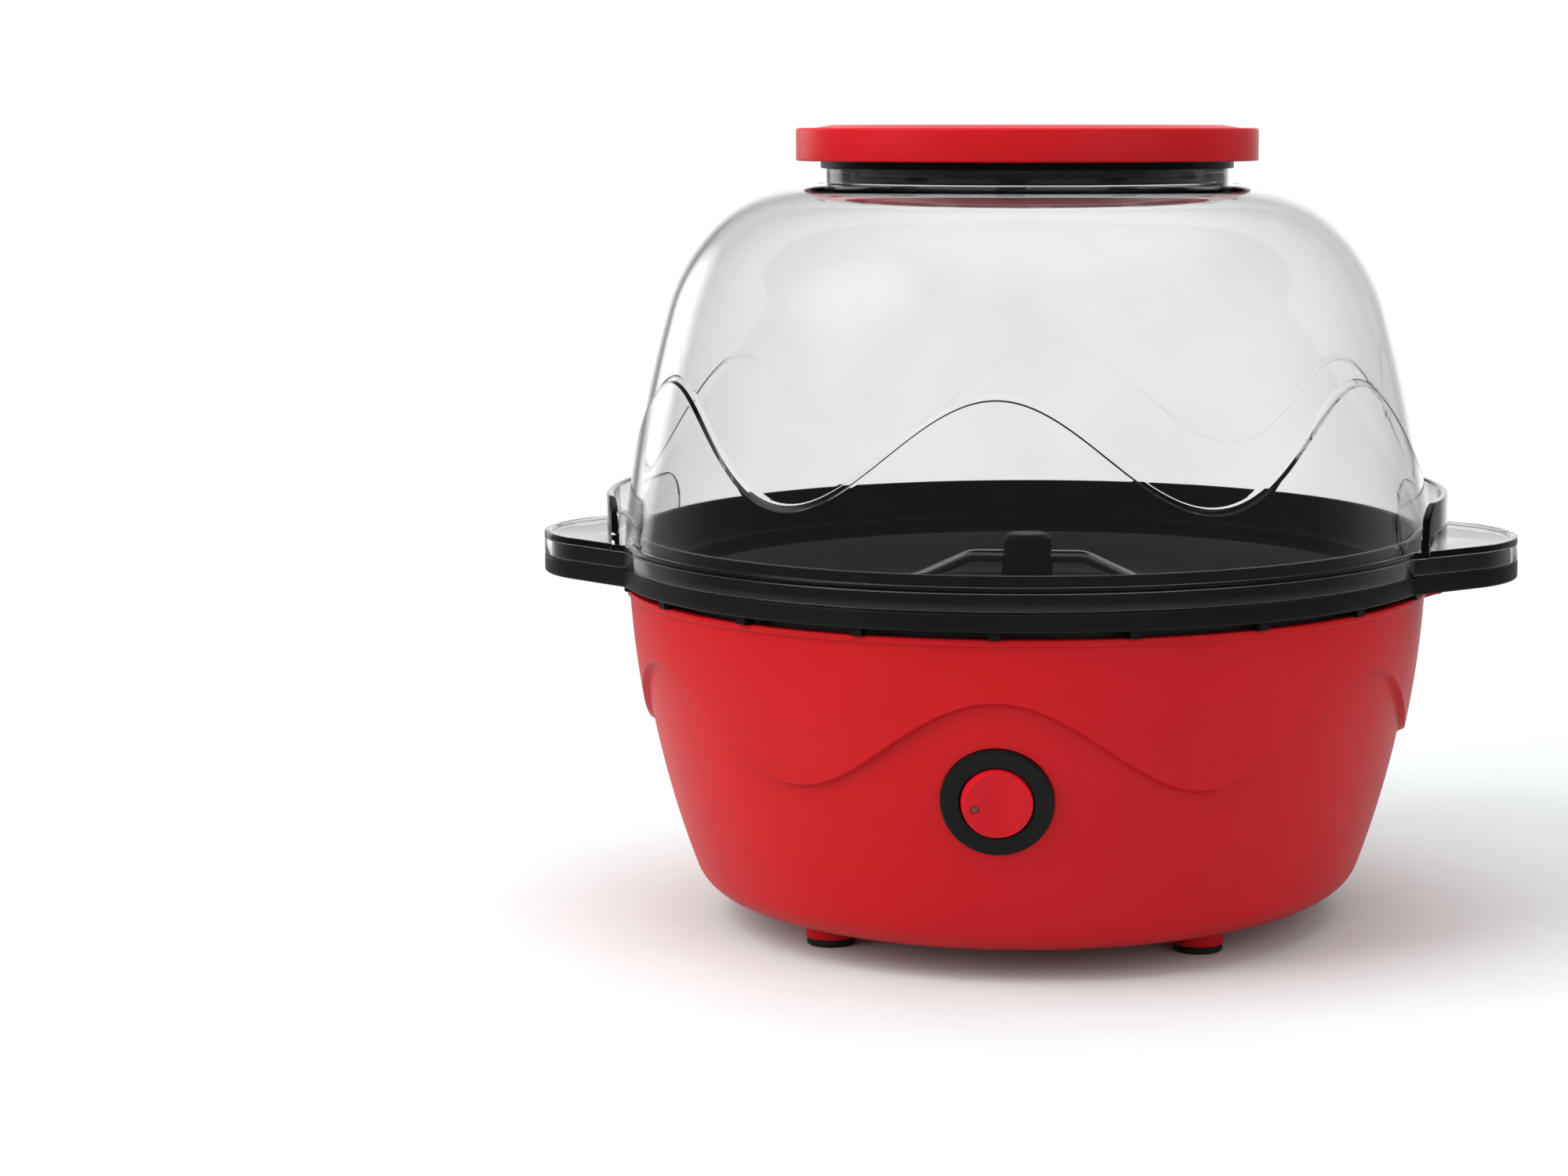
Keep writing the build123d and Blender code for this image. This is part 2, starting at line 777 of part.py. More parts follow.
def pan_screws():
    head_z = pan_rim_z - pan_flange
    shank = band_z + pan_screw_grip - head_z - pilot_depth_spare
    return [screw(p, head_z, shank) for p in spread(pan_screw_circle, pan_screw_count, 45)]


# Heating element, its cut-outs and the shield under it

def element_level():
    return pan_under_z - element_radius - element_rib_wall / 2


def element_ends():
    gap = (360 - element_arc) / 2
    return [polar(element_circle, 90 - gap), polar(element_circle, 90 + gap)]


def heating_element():
    level = element_level()
    section = Plane.XZ * (Pos(element_circle, level) * Circle(element_radius))
    body = Rot(0, 0, 90 + (360 - element_arc) / 2) * revolve(section, Axis.Z, element_arc)
    for end in element_ends():
        body += Pos(end.X, end.Y, level) * Sphere(element_radius)
        body += Pos(end.X, end.Y) * disc(element_radius, level - element_leg, level)
    return body


def element_pins():
    top = element_level() - element_leg
    pin = disc(element_pin_radius, top - element_pin_length, top)
    return [Pos(end.X, end.Y) * pin for end in element_ends()]


def thermostat():
    low = pan_under_z - thermostat_height
    body = disc(thermostat_radius, low, pan_under_z)
    flange_z = pan_under_z - shield_wall
    body += upright_block(thermostat_flange, thermostat_radius, flange_z, pan_under_z, Vector())
    for side in (-1, 1):
        place = Vector(side * blade_pitch / 2, 0)
        body += upright_block(blade_wall, blade_width, low - blade_length, low, place)
    place = polar(thermostat_circle, thermostat_angle)
    return Pos(place.X, place.Y) * (Rot(0, 0, thermostat_angle + 90) * body)


def fuse_place():
    place = polar(fuse_circle, fuse_angle)
    return Pos(place.X, place.Y, pan_under_z - fuse_radius) * Rot(0, 0, fuse_angle)


def thermal_fuse():
    barrel = Cylinder(fuse_radius - running_fit, fuse_length)
    return fuse_place() * (Rot(90, 0, 0) * barrel)


def fuse_clip():
    outer = fuse_radius + fuse_clip_wall
    strap = Rot(90, 0, 0) * Cylinder(outer, fuse_clip_width)
    strap += Pos(0, 0, fuse_radius / 2) * Box(2 * outer, fuse_clip_width, fuse_radius)
    foot_middle = outer + fuse_clip_foot / 2 - fuse_clip_wall
    for side in (-1, 1):
        foot = Box(fuse_clip_foot, fuse_clip_width, fuse_clip_wall)
        strap += Pos(side * foot_middle, 0, fuse_radius - fuse_clip_wall / 2) * foot
    strap -= Rot(90, 0, 0) * Cylinder(fuse_radius + running_fit, 2 * fuse_clip_width)
    throat = 2 * (fuse_radius + running_fit)
    strap -= Pos(0, 0, fuse_radius) * Box(throat, 2 * fuse_clip_width, 2 * fuse_radius)
    strap -= Pos(0, 0, fuse_radius + outer) * Box(4 * outer, 2 * fuse_clip_width, 2 * outer)
    return fuse_place() * strap


def heat_shield():
    low = shield_z - shield_wall
    body = disc(shield_radius, low, shield_z) - disc(shield_bore, low - 1, shield_z + 1)
    body += ring(shield_radius - shield_wall, shield_radius, shield_z, shield_z + shield_lip)
    for point in spread(pan_post_circle, pan_post_count, 45):
        body -= Pos(point.X, point.Y) * disc(screw_radius + slip_fit, low - 1, shield_z + 1)
    for end in element_ends():
        body -= Pos(end.X, end.Y) * disc(element_radius + loose_fit, low - 1, shield_z + 1)
    return body


# Stirring drive

def motor_bracket():
    foot_z = shield_z - shield_wall
    reach = bracket_span + bracket_foot
    half = [
        (bracket_span - bracket_wall, bracket_z),
        (bracket_span - bracket_wall, foot_z),
        (reach, foot_z),
        (reach, foot_z - bracket_wall),
        (bracket_span, foot_z - bracket_wall),
        (bracket_span, motor_z),
    ]
    other = [(-x, z) for x, z in reversed(half)]
    outline = make_face(Polyline(*half, *other, close=True).edges())
    body = extrude(Plane.XZ * outline, bracket_width / 2, both=True)
    body -= disc(motor_boss_radius + slip_fit, motor_z - 1, bracket_z + 1)
    for side in (-1, 1):
        body -= Pos(side * motor_ear_circle, 0) * disc(screw_radius + slip_fit, motor_z - 1, bracket_z + 1)
        body -= Pos(side * pan_post_circle, 0) * disc(screw_radius + slip_fit, motor_z, foot_z + 1)
    return Rot(0, 0, bracket_turn) * body


def bracket_screws():
    """Four screws into the pan's posts: two carry the bracket's feet, two hold the shield alone."""
    solids = []
    for i, point in enumerate(spread(pan_post_circle, pan_post_count, 45)):
        head_z = shield_z - shield_wall - (bracket_wall if i % 2 == 0 else 0)
        solids.append(screw(point, head_z, shield_z - head_z + pan_post_length / 2))
    return solids


def gearmotor():
    low = motor_z - motor_height
    body = disc(motor_radius, low, motor_z) + disc(motor_boss_radius, motor_z, bracket_z + motor_boss_height)
    for side in (-1, 1):
        ear_length = motor_ear_circle + motor_ear_end - motor_radius / 2
        ear_middle = Vector(side * (motor_ear_circle + motor_ear_end - ear_length / 2), 0)
        body += upright_block(ear_length, motor_ear_width, motor_z - bracket_wall, motor_z, ear_middle)
        body -= Pos(side * motor_ear_circle, 0) * disc(screw_radius + slip_fit, low, motor_z + 1)
    plug = Vector(0, motor_radius)
    plug_low = low + (motor_height - motor_plug_height) / 2
    plug_high = plug_low + motor_plug_height
    body += upright_block(motor_plug_width, 2 * motor_plug_depth, plug_low, plug_high, plug)
    spindle_top = bracket_z + motor_boss_height
    body -= disc(spindle_radius + running_fit, spindle_top - spindle_seat, spindle_top + 1)
    return Rot(0, 0, bracket_turn) * body


def motor_screws():
    head_z = motor_z - bracket_wall
    shank = 2 * bracket_wall + screw_head_height
    points = [polar(side * motor_ear_circle, bracket_turn) for side in (-1, 1)]
    return [screw(p, head_z, shank) for p in points]


def motor_spindle():
    low = bracket_z + motor_boss_height - spindle_seat
    return disc(spindle_radius, low, spindle_top_z)


def shaft_coupler():
    low = bracket_z + motor_boss_height + coupler_gap
    high = low + coupler_height
    body = disc(coupler_radius, low, high)
    body -= disc(spindle_radius + running_fit, low - 1, spindle_top_z)
    return body - disc(shaft_radius + running_fit, spindle_top_z, high + 1)


def shaft_form(grow, z_low, z_high):
    """Round shaft whose driving end, above the bushing, has one flat."""
    body = disc(shaft_radius + grow, z_low, z_high)
    keep = Vector(-shaft_flat + grow, 0)
    blank = upright_block(2 * shaft_radius, 4 * shaft_radius, hub_foot_z, z_high + 1, keep)
    return body - (disc(shaft_radius + 1, hub_foot_z, z_high + 1) - blank)


def drive_shaft():
    return shaft_form(0, spindle_top_z, shaft_top_z)


def shaft_bushing():
    bore = shaft_radius + running_fit
    low = pan_under_z - pan_boss_drop
    body = ring(bore, bushing_radius, low, bushing_top_z)
    return body + ring(bore, bushing_flange_radius, pan_floor_z + seal_height, bushing_top_z)


def shaft_seal():
    return ring(bushing_radius + running_fit, bushing_flange_radius, pan_floor_z, pan_floor_z + seal_height)


def stir_hub():
    top = shaft_top_z + hub_head
    outline = FilletPolyline(
        (0, hub_foot_z),
        (hub_radius, hub_foot_z),
        (hub_top_radius, top),
        (0, top),
        radius=(0, 0, hub_edge, 0),
        close=True,
    )
    body = turned(*outline.edges()) - shaft_form(slip_fit, hub_foot_z, shaft_top_z)
    return body - Pos(0, 0, rod_z) * Rot(0, 90, 0) * Cylinder(rod_radius + running_fit, 4 * hub_radius)


def stir_rod():
    half = [
        (rod_shoulder, 0, rod_z),
        (rod_foot, 0, rod_floor_z),
        (rod_reach, -rod_sweep, rod_floor_z),
    ]
    other = [(-x, -y, z) for x, y, z in reversed(half)]
    path = FilletPolyline(*other, *half, radius=rod_bend)
    start = Plane(origin=path @ 0, z_dir=path % 0)
    return sweep(start * Circle(rod_radius), path)


# Power switch, drawn on the front wall's plane: local Z points out of the wall

def switch_bezel():
    bore = rocker_radius + rocker_gap
    outline = FilletPolyline(
        (bore, -barrel_depth),
        (barrel_radius, -barrel_depth),
        (barrel_radius, -bezel_seat),
        (bezel_radius, -bezel_seat),
        (bezel_radius, bezel_proud),
        (bore, bezel_proud),
        radius=(0, 0, 0, 0, bezel_edge, 0),
        close=True,
    )
    body = turned(*outline.edges())
    pin = Rot(90, 0, 0) * Cylinder(rocker_pin_radius + running_fit, 2 * barrel_radius + 2)
    return wall_plane(-1, switch_height) * (body - Pos(0, 0, -rocker_pivot) * pin)


def rocker_place():
    return wall_plane(-1, switch_height) * Pos(0, 0, -rocker_pivot) * Rot(0, rocker_tilt, 0)


def rocker_form():
    """Rocker cut from a ball about its pivot, so that it keeps its gap to the bezel as it tilts."""
    ball = Sphere(rocker_radius)
    face_z = rocker_pivot + rocker_proud
    keep = disc(2 * rocker_radius, -rocker_skirt, face_z)
    dish_z = face_z + rocker_dish_radius - rocker_dish
    dish = Pos(0, 0, dish_z) * Rot(90, 0, 0) * Cylinder(rocker_dish_radius, 4 * rocker_radius)
    return (ball & keep) - dish


def lens_form(grow):
    """Round rod of the indicator lens, long enough to reach past the rocker's face."""
    low = rocker_pivot + rocker_proud - rocker_dish - lens_depth
    return Pos(-lens_out, -lens_drop) * disc(lens_radius + grow, low, rocker_radius)


def power_rocker():
    pin_length = 2 * (rocker_radius + rocker_pin_reach)
    body = rocker_form() + Rot(90, 0, 0) * Cylinder(rocker_pin_radius, pin_length)
    body += disc(rocker_stem_radius, -rocker_skirt - rocker_stem_length, 0)
    return rocker_place() * (body - lens_form(running_fit))


def indicator_lens():
    return rocker_place() * (rocker_form() & lens_form(0))


def switch_body():
    high = -barrel_depth
    low = high - switch_body_depth
    return wall_plane(-1, switch_height) * disc(switch_body_radius, low, high)


def switch_blades():
    high = -barrel_depth - switch_body_depth
    solids = []
    for i in range(blade_count):
        place = Vector((i - (blade_count - 1) / 2) * blade_pitch, 0)
        blade = upright_block(blade_wall, blade_width, high - blade_length, high, place)
        solids.append(wall_plane(-1, switch_height) * blade)
    return solids


# Cord inlet, terminal block and inner leads

def cord_inlet():
    body = disc(inlet_radius, -housing_wall - inlet_land - inlet_nut, 0)
    body += disc(inlet_flange_radius, -inlet_seat, inlet_flange - inlet_seat)
    body += disc(inlet_nut_radius, -housing_wall - inlet_land - inlet_nut, -housing_wall - inlet_land)
    body -= disc(inlet_bore, -housing_height, housing_wall)
    return wall_plane(1, inlet_height) * body


def terminal_block():
    body = upright_block(block_width, block_length, lip_z, lip_z + block_height, Vector(0, block_out))
    for i in (-1, 0, 1):
        hole = disc(block_hole_radius, lip_z + block_height - block_hole_depth, lip_z + block_height + 1)
        body -= Pos(i * block_pitch, block_out) * hole
    return body


def lead(*points):
    path = FilletPolyline(*points, radius=lead_bend)
    start = Plane(origin=path @ 0, z_dir=path % 0)
    return sweep(start * Circle(lead_radius), path)


def inner_leads():
    """Leads from the terminal block to the switch's blades, the element's pins and the motor's plug."""
    low = lip_z + lead_floor_gap
    block_z = lip_z + block_height - block_hole_depth
    front = wall_plane(-1, switch_height)
    blade_back = barrel_depth + switch_body_depth + blade_length
    pin_z = element_level() - element_leg - element_pin_length
    middle = (block_z + pin_z) / 2
    solids = []
    for side, pin in zip((1, -1), element_ends()):
        solids.append(lead(
            (side * block_pitch, block_out - block_length / 2, low),
            (side * block_pitch, block_out - block_length / 2 - 2 * lead_bend, low),
            (side * lead_side, 0, low),
            (front * Pos(side * blade_pitch, 0, -blade_back - 2 * lead_bend)).position,
            (front * Pos(side * blade_pitch, 0, -blade_back)).position,
        ))
        solids.append(lead(
            (side * block_pitch, block_out, block_z),
            (side * block_pitch, block_out, middle - lead_bend),
            (pin.X, pin.Y, middle + lead_bend),
            (pin.X, pin.Y, pin_z),
        ))
    plug_z = motor_z - motor_height / 2
    plug_reach = motor_radius + motor_plug_depth
    plug = polar(plug_reach, 90 + bracket_turn)
    plug_out = polar(plug_reach + 2 * lead_bend, 90 + bracket_turn)
    solids.append(lead(
        (0, block_out, block_z),
        (0, block_out, plug_z),
        (plug_out.X, plug_out.Y, plug_z),
        (plug.X, plug.Y, plug_z),
    ))
    return solids


nodes = {
    "base_housing": base_housing,
    "bottom_cover": bottom_cover,
    "foot_pads": foot_pads,
    "bottom_screws": bottom_screws,
    "rim_collar": rim_collar,
    "handle_screws": handle_screws,
    "popping_pan": popping_pan,
    "pan_gasket": pan_gasket,
    "pan_screws": pan_screws,
    "heating_element": heating_element,
    "element_pins": element_pins,
    "thermostat": thermostat,
    "thermal_fuse": thermal_fuse,
    "fuse_clip": fuse_clip,
    "heat_shield": heat_shield,
    "motor_bracket": motor_bracket,
    "bracket_screws": bracket_screws,
    "gearmotor": gearmotor,
    "motor_screws": motor_screws,
    "motor_spindle": motor_spindle,
    "shaft_coupler": shaft_coupler,
    "drive_shaft": drive_shaft,
    "shaft_bushing": shaft_bushing,
    "shaft_seal": shaft_seal,
    "stir_hub": stir_hub,
    "stir_rod": stir_rod,
    "switch_bezel": switch_bezel,
    "power_rocker": power_rocker,
    "indicator_lens": indicator_lens,
    "switch_body": switch_body,
    "switch_blades": switch_blades,
    "cord_inlet": cord_inlet,
    "terminal_block": terminal_block,
    "inner_leads": inner_leads,
    "cover_dome": cover_dome,
    "butter_tray": butter_tray,
    "cap": cap,
    "cap_ring": cap_ring,
}

os.makedirs("parts", exist_ok=True)
for name, make in nodes.items():
    made = make()
    solids = made if isinstance(made, list) else [made]
    shapes = [solid for part in solids for solid in part.solids()]
    export_step(shapes[0] if len(shapes) == 1 else Compound(children=shapes), f"parts/{name}.step")
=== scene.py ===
# %% Frame
import json
import math

import bmesh
import bpy
from mathutils import Matrix, Vector


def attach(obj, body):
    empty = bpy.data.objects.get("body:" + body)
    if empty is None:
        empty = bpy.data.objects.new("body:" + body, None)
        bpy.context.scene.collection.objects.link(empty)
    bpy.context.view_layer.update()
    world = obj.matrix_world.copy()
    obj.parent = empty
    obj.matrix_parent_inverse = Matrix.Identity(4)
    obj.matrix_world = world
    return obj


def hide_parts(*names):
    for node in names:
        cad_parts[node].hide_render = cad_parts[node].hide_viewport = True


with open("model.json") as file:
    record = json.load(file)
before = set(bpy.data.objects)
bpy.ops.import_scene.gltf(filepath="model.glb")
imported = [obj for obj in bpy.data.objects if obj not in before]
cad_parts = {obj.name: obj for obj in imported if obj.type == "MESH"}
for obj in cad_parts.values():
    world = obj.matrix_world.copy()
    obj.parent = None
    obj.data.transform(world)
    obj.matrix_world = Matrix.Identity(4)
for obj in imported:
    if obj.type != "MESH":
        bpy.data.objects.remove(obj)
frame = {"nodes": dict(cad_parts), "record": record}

scene = bpy.context.scene
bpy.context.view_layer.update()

# %% [markdown]
# # A stirring popcorn maker
# The construction fixes where every piece sits. This lesson gives the pieces that can be seen their moulded
# edges, smooth skins and materials, and leaves the pieces inside the base as the construction made them.
#
# ## Sizes
# The skins follow the same sizes as the construction, in millimetres, so they're written down once here.

# %% Sizes
MM = 0.001
# Levels, from the table up.
floor_z, lip_z, rim_z = 9.7, 12.2, 116.3
band_z, deck_z, tier_z, wing_z = 118.8, 124.7, 130.6, 132.2
cover_top_z, neck_z, cap_under_z, cap_top_z = 253.2, 268.3, 270.7, 273.1
# Each wave's middle level, its rise and fall, the step in the wall and how steep that step's ledge is.
wave_count = 6
base_wave = {"level": floor_z + 70.2, "swing": 15.5, "step": 2.2, "slope": 0.6}
cover_wave = {"level": tier_z + 41.3, "swing": 18.1, "step": 1.0, "slope": -2.2}
# Plan of the collar and the cover: a ring with two wings that have round tips and straight flanks.
collar_radius, tip_centre, tip_radius, flank_turn = 142.0, 126.0, 44.0, math.radians(50)
upstand_outer, upstand_inner, ledge_radius = 136.6, 134.2, 125.0
handle_screw_x = 141
neck_outer, neck_inner = 69.2, 67.0

# %% [markdown]
# ## Small tools
# Most pieces of this machine are nearly round, so one tool does most of the modelling. It takes the outline of a
# slice at each angle round the upright axis and joins neighbouring slices with four-sided faces. Because each slice
# is worked out for its own angle, a wave or a handle is just an outline that changes on the way round.

# %% Tools for meshes
def make_object(name, points, faces):
    mesh = bpy.data.meshes.new(name)
    mesh.from_pydata(points, [], faces)
    obj = bpy.data.objects.new(name, mesh)
    scene.collection.objects.link(obj)
    return obj


def tidy(obj, sharp_angle=35):
    """Closes poles, turns faces outward, and shades smooth with creases only at real corners."""
    work = bmesh.new()
    work.from_mesh(obj.data)
    bmesh.ops.remove_doubles(work, verts=work.verts, dist=0.002 * MM)
    bmesh.ops.dissolve_degenerate(work, edges=work.edges, dist=0.001 * MM)
    bmesh.ops.recalc_face_normals(work, faces=work.faces)
    work.to_mesh(obj.data)
    work.free()
    obj.data.polygons.foreach_set("use_smooth", [True] * len(obj.data.polygons))
    obj.data.set_sharp_from_angle(angle=math.radians(sharp_angle))
    obj.data.update()
    return obj


def rounded(corners, steps=4):
    """Closed outline from (radius, height, rounding) corners, with each rounding drawn as a short arc."""
    outline = []
    for i, (out, up, rounding) in enumerate(corners):
        here = Vector((out, up))
        if rounding == 0:
            outline.append((out, up))
            continue
        back = Vector(corners[i - 1][:2]) - here
        ahead = Vector(corners[(i + 1) % len(corners)][:2]) - here
        half = back.angle(ahead, math.pi) / 2
        reach = min(rounding / math.tan(half), 0.45 * back.length, 0.45 * ahead.length)
        start, end = here + back.normalized() * reach, here + ahead.normalized() * reach
        for k in range(steps + 1):
            t = k / steps
            outline.append(tuple(start * (1 - t) ** 2 + here * 2 * t * (1 - t) + end * t ** 2))
    return outline


def wrap(name, slice_at, angles, place=Matrix.Identity(4)):
    """Closed skin round the Z axis of place: slice_at(angle) gives a closed outline in mm."""
    slices = [slice_at(angle) for angle in angles]
    rows = len(slices[0])
    points = []
    for angle, outline in zip(angles, slices):
        for out, up in outline:
            local = Vector((out * math.cos(angle), out * math.sin(angle), up)) * MM
            points.append(place @ local)
    faces = []
    for i in range(len(angles)):
        j = (i + 1) % len(angles)
        for k in range(rows):
            m = (k + 1) % rows
            faces.append((i * rows + k, j * rows + k, j * rows + m, i * rows + m))
    return tidy(make_object(name, points, faces))


def applied(obj):
    """Bakes the object's modifiers into its mesh."""
    graph = bpy.context.evaluated_depsgraph_get()
    baked = bpy.data.meshes.new_from_object(obj.evaluated_get(graph))
    obj.modifiers.clear()
    old, obj.data = obj.data, baked
    bpy.data.meshes.remove(old)
    baked.name = obj.name
    return obj


def carve(obj, tool, operation):
    """Joins the tool to the object or cuts it away, then removes the tool."""
    change = obj.modifiers.new("carve", "BOOLEAN")
    change.operation, change.solver, change.object = operation, "EXACT", tool
    applied(obj)
    bpy.data.objects.remove(tool)
    return tidy(obj)


def cylinder(name, radius, low, high, place=Matrix.Identity(4)):
    outline = [(0, low), (radius, low), (radius, high), (0, high)]
    return wrap(name, lambda angle: outline, turn(48), place)


def turn(count):
    return [2 * math.pi * i / count for i in range(count)]


def merged(name, objects):
    """One object from several closed shells that don't share faces."""
    work = bmesh.new()
    for obj in objects:
        work.from_mesh(obj.data)
        bpy.data.objects.remove(obj)
    made = make_object(name, [], [])
    work.to_mesh(made.data)
    work.free()
    return tidy(made)


def dressed_copy(node, edge=0.0):
    """Copy of a construction piece with joined triangles, clean flats and, if asked, softened edges."""
    copy = make_object(node + "_skin", [], [])
    work = bmesh.new()
    work.from_mesh(frame["nodes"][node].data)
    bmesh.ops.remove_doubles(work, verts=work.verts, dist=0.002 * MM)
    bmesh.ops.dissolve_limit(work, angle_limit=math.radians(0.4), verts=work.verts, edges=work.edges)
    work.to_mesh(copy.data)
    work.free()
    if edge:
        soft = copy.modifiers.new("edge", "BEVEL")
        soft.width, soft.segments, soft.limit_method = edge * MM, 3, "ANGLE"
        soft.angle_limit, soft.use_clamp_overlap = math.radians(40), True
        applied(copy)
    return tidy(copy)


# %% [markdown]
# ## Materials
# Each material is named for what the real piece is made of and how it was made. Fine grain and slow changes of gloss
# come from noise measured in millimetres on the piece itself, so they stay put when the piece moves.

# %% Tools for materials
def linear(code):
    values = [int(code[i:i + 2], 16) / 255 for i in (1, 3, 5)]
    return tuple(v / 12.92 if v <= 0.04045 else ((v + 0.055) / 1.055) ** 2.4 for v in values) + (1.0,)


def add_node(tree, kind, settings=None, links=None):
    node = tree.nodes.new(kind)
    for key, value in (settings or {}).items():
        if key in node.inputs:
            node.inputs[key].default_value = value
        else:
            setattr(node, key, value)
    for key, socket in (links or {}).items():
        tree.links.new(socket, node.inputs[key])
    return node


def surface(name, colours, gloss, grain_mm, grain_depth_mm, settings):
    """Principled material: two near colours and two roughness values blended by noise, plus a fine grain."""
    material = bpy.data.materials.new(name)
    material.use_nodes = True
    tree = material.node_tree
    tree.nodes.clear()
    place = add_node(tree, "ShaderNodeTexCoord").outputs["Object"]
    drift = add_node(tree, "ShaderNodeTexNoise", {"Scale": 1 / (40 * MM), "Detail": 3.0}, {"Vector": place})
    grain = add_node(tree, "ShaderNodeTexNoise", {"Scale": 1 / (grain_mm * MM), "Detail": 2.0}, {"Vector": place})
    colour = add_node(tree, "ShaderNodeValToRGB", {}, {"Fac": drift.outputs["Fac"]})
    for stop, code in zip(colour.color_ramp.elements, colours):
        stop.color = linear(code)
    colour.color_ramp.elements[0].position, colour.color_ramp.elements[1].position = 0.35, 0.65
    rough = add_node(tree, "ShaderNodeMapRange", {"To Min": gloss[0], "To Max": gloss[1]},
                     {"Value": grain.outputs["Fac"]})
    bump = add_node(tree, "ShaderNodeBump", {"Strength": 0.3, "Distance": grain_depth_mm * MM},
                    {"Height": grain.outputs["Fac"]})
    shader = add_node(tree, "ShaderNodeBsdfPrincipled", settings, {
        "Base Color": colour.outputs["Color"], "Roughness": rough.outputs["Result"],
        "Normal": bump.outputs["Normal"]})
    add_node(tree, "ShaderNodeOutputMaterial", {}, {"Surface": shader.outputs["BSDF"]})
    return material


# %% Materials
metal = {"Metallic": 1.0}
finishes = {
    # Injection-moulded ABS from a fine spark-eroded mould: satin, with a very fine grain.
    "red_abs": surface("satin_red_abs", ("#C3161D", "#C81920"), (0.30, 0.40), 0.35, 0.010,
                       {"Specular IOR Level": 0.18}),
    # The rocker comes from a polished mould, so it's glossier and a little lighter.
    "red_rocker": surface("gloss_red_abs", ("#CE1722", "#D31A26"), (0.22, 0.28), 0.8, 0.004,
                          {"Specular IOR Level": 0.18}),
    # A tinted polycarbonate plug, dark until the lamp behind it is lit.
    "smoked_lens": surface("smoked_polycarbonate", ("#6E322C", "#7C3A33"), (0.10, 0.16), 0.8, 0.002, {}),
    # Glass-filled polypropylene: dark, slightly grey on its skin.
    "black_polypropylene": surface("satin_black_polypropylene", ("#131313", "#171717"), (0.30, 0.42), 0.4, 0.010,
                                   {"Specular IOR Level": 0.15}),
    "black_nylon": surface("moulded_black_nylon", ("#141414", "#191919"), (0.42, 0.55), 0.5, 0.015,
                           {"Specular IOR Level": 0.25}),
    # Clear polycarbonate from a polished mould; light bends through its real wall thickness.
    "clear_polycarbonate": surface("clear_polycarbonate", ("#FBFCFC", "#FFFFFF"), (0.0, 0.006), 12.0, 0.002,
                                   {"Transmission Weight": 1.0, "IOR": 1.58}),
    # Sprayed and baked non-stick coat over die-cast aluminium.
    "nonstick_aluminium": surface("baked_nonstick_coat", ("#35373A", "#3D3F42"), (0.30, 0.45), 0.9, 0.02, {}),
    "zinc_plated_steel": surface("zinc_plated_steel", ("#9A9C9E", "#A6A8AA"), (0.28, 0.40), 0.6, 0.005, metal),
    "stainless_steel": surface("drawn_stainless_wire", ("#A8A9AA", "#B4B5B6"), (0.14, 0.24), 0.5, 0.004, metal),
    "galvanised_sheet": surface("galvanised_sheet", ("#909498", "#A3A7AB"), (0.32, 0.50), 6.0, 0.004, metal),
    "brass": surface("turned_brass", ("#B08D3F", "#BC9849"), (0.24, 0.36), 0.5, 0.005, metal),
    "black_silicone": surface("moulded_silicone", ("#161616", "#1B1B1B"), (0.55, 0.70), 0.5, 0.02, {}),
    "white_nylon": surface("moulded_white_nylon", ("#D9D6CD", "#E2DFD7"), (0.40, 0.52), 0.5, 0.015, {}),
    "grey_pvc": surface("extruded_pvc", ("#6C6D70", "#75767A"), (0.38, 0.50), 0.6, 0.01, {}),
}
print("materials", len(finishes))


def done(obj, body, slot, *nodes):
    """Gives a finished piece its material, its body and the construction pieces it stands for."""
    obj.data.materials.clear()
    obj.data.materials.append(finishes[slot])
    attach(obj, body)
    if nodes:
        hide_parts(*nodes)
    size = [round(v * 1000, 1) for v in obj.dimensions]
    print(obj.name, len(obj.data.polygons), "faces, mm", size)


# %% [markdown]
# ## Base housing
# On the real machine this is one deep ABS moulding. Its wall steps outward along a wave that rises and falls six times
# round the base. A sculpted or displaced wall would blur that step, so each slice is drawn with its own ledge
# height: the rows of faces then run along the wave and its two edges stay crisp, with a real rounding on each.

# %% Base housing
def wave_height(wave, angle):
    return wave["level"] - wave["swing"] * math.cos(wave_count * angle)


def arc_through(start, lean, end):
    """Circle that leaves start, turned from level by lean degrees, and meets end."""
    out, rise = end[0] - start[0], end[1] - start[1]
    sign = 1 if rise > 0 else -1
    lean = math.radians(lean)
    radius = math.hypot(out, rise) / (2 * math.sin(math.atan2(abs(rise), out) - lean))
    return radius, start[0] - radius * math.sin(lean), start[1] + sign * radius * math.cos(lean)


def arc_reach(arc, height, offset=0.0):
    radius, centre_out, centre_up = arc
    return centre_out + math.sqrt((radius + offset) ** 2 - (height - centre_up) ** 2)


def wall_rows(arc, low, high, offset, count):
    heights = [low + (high - low) * i / (count - 1) for i in range(count)]
    return [(arc_reach(arc, z, offset), z, 0) for z in heights]


corner_radius, corner_turn, floor_radius = 14.2, 70.0, 103.1
base_wall, rim_radius, rim_inner = 2.5, 136.0, 135.7
bead_radius, bead_height = 139.2, 2.1
lip_outer, lip_seat, lip_inner, lip_top_z = 100.5, 98.3, 88, 14.7
wall_foot = (floor_radius + corner_radius * math.sin(math.radians(corner_turn)),
             floor_z + corner_radius * (1 - math.cos(math.radians(corner_turn))))
base_arc = arc_through(wall_foot, corner_turn, (rim_radius, rim_z))


def base_corner(radius, count=9):
    rows = []
    for i in range(count):
        t = math.radians(corner_turn * i / count)
        rows.append((floor_radius + radius * math.sin(t), floor_z + corner_radius - radius * math.cos(t), 0))
    return rows


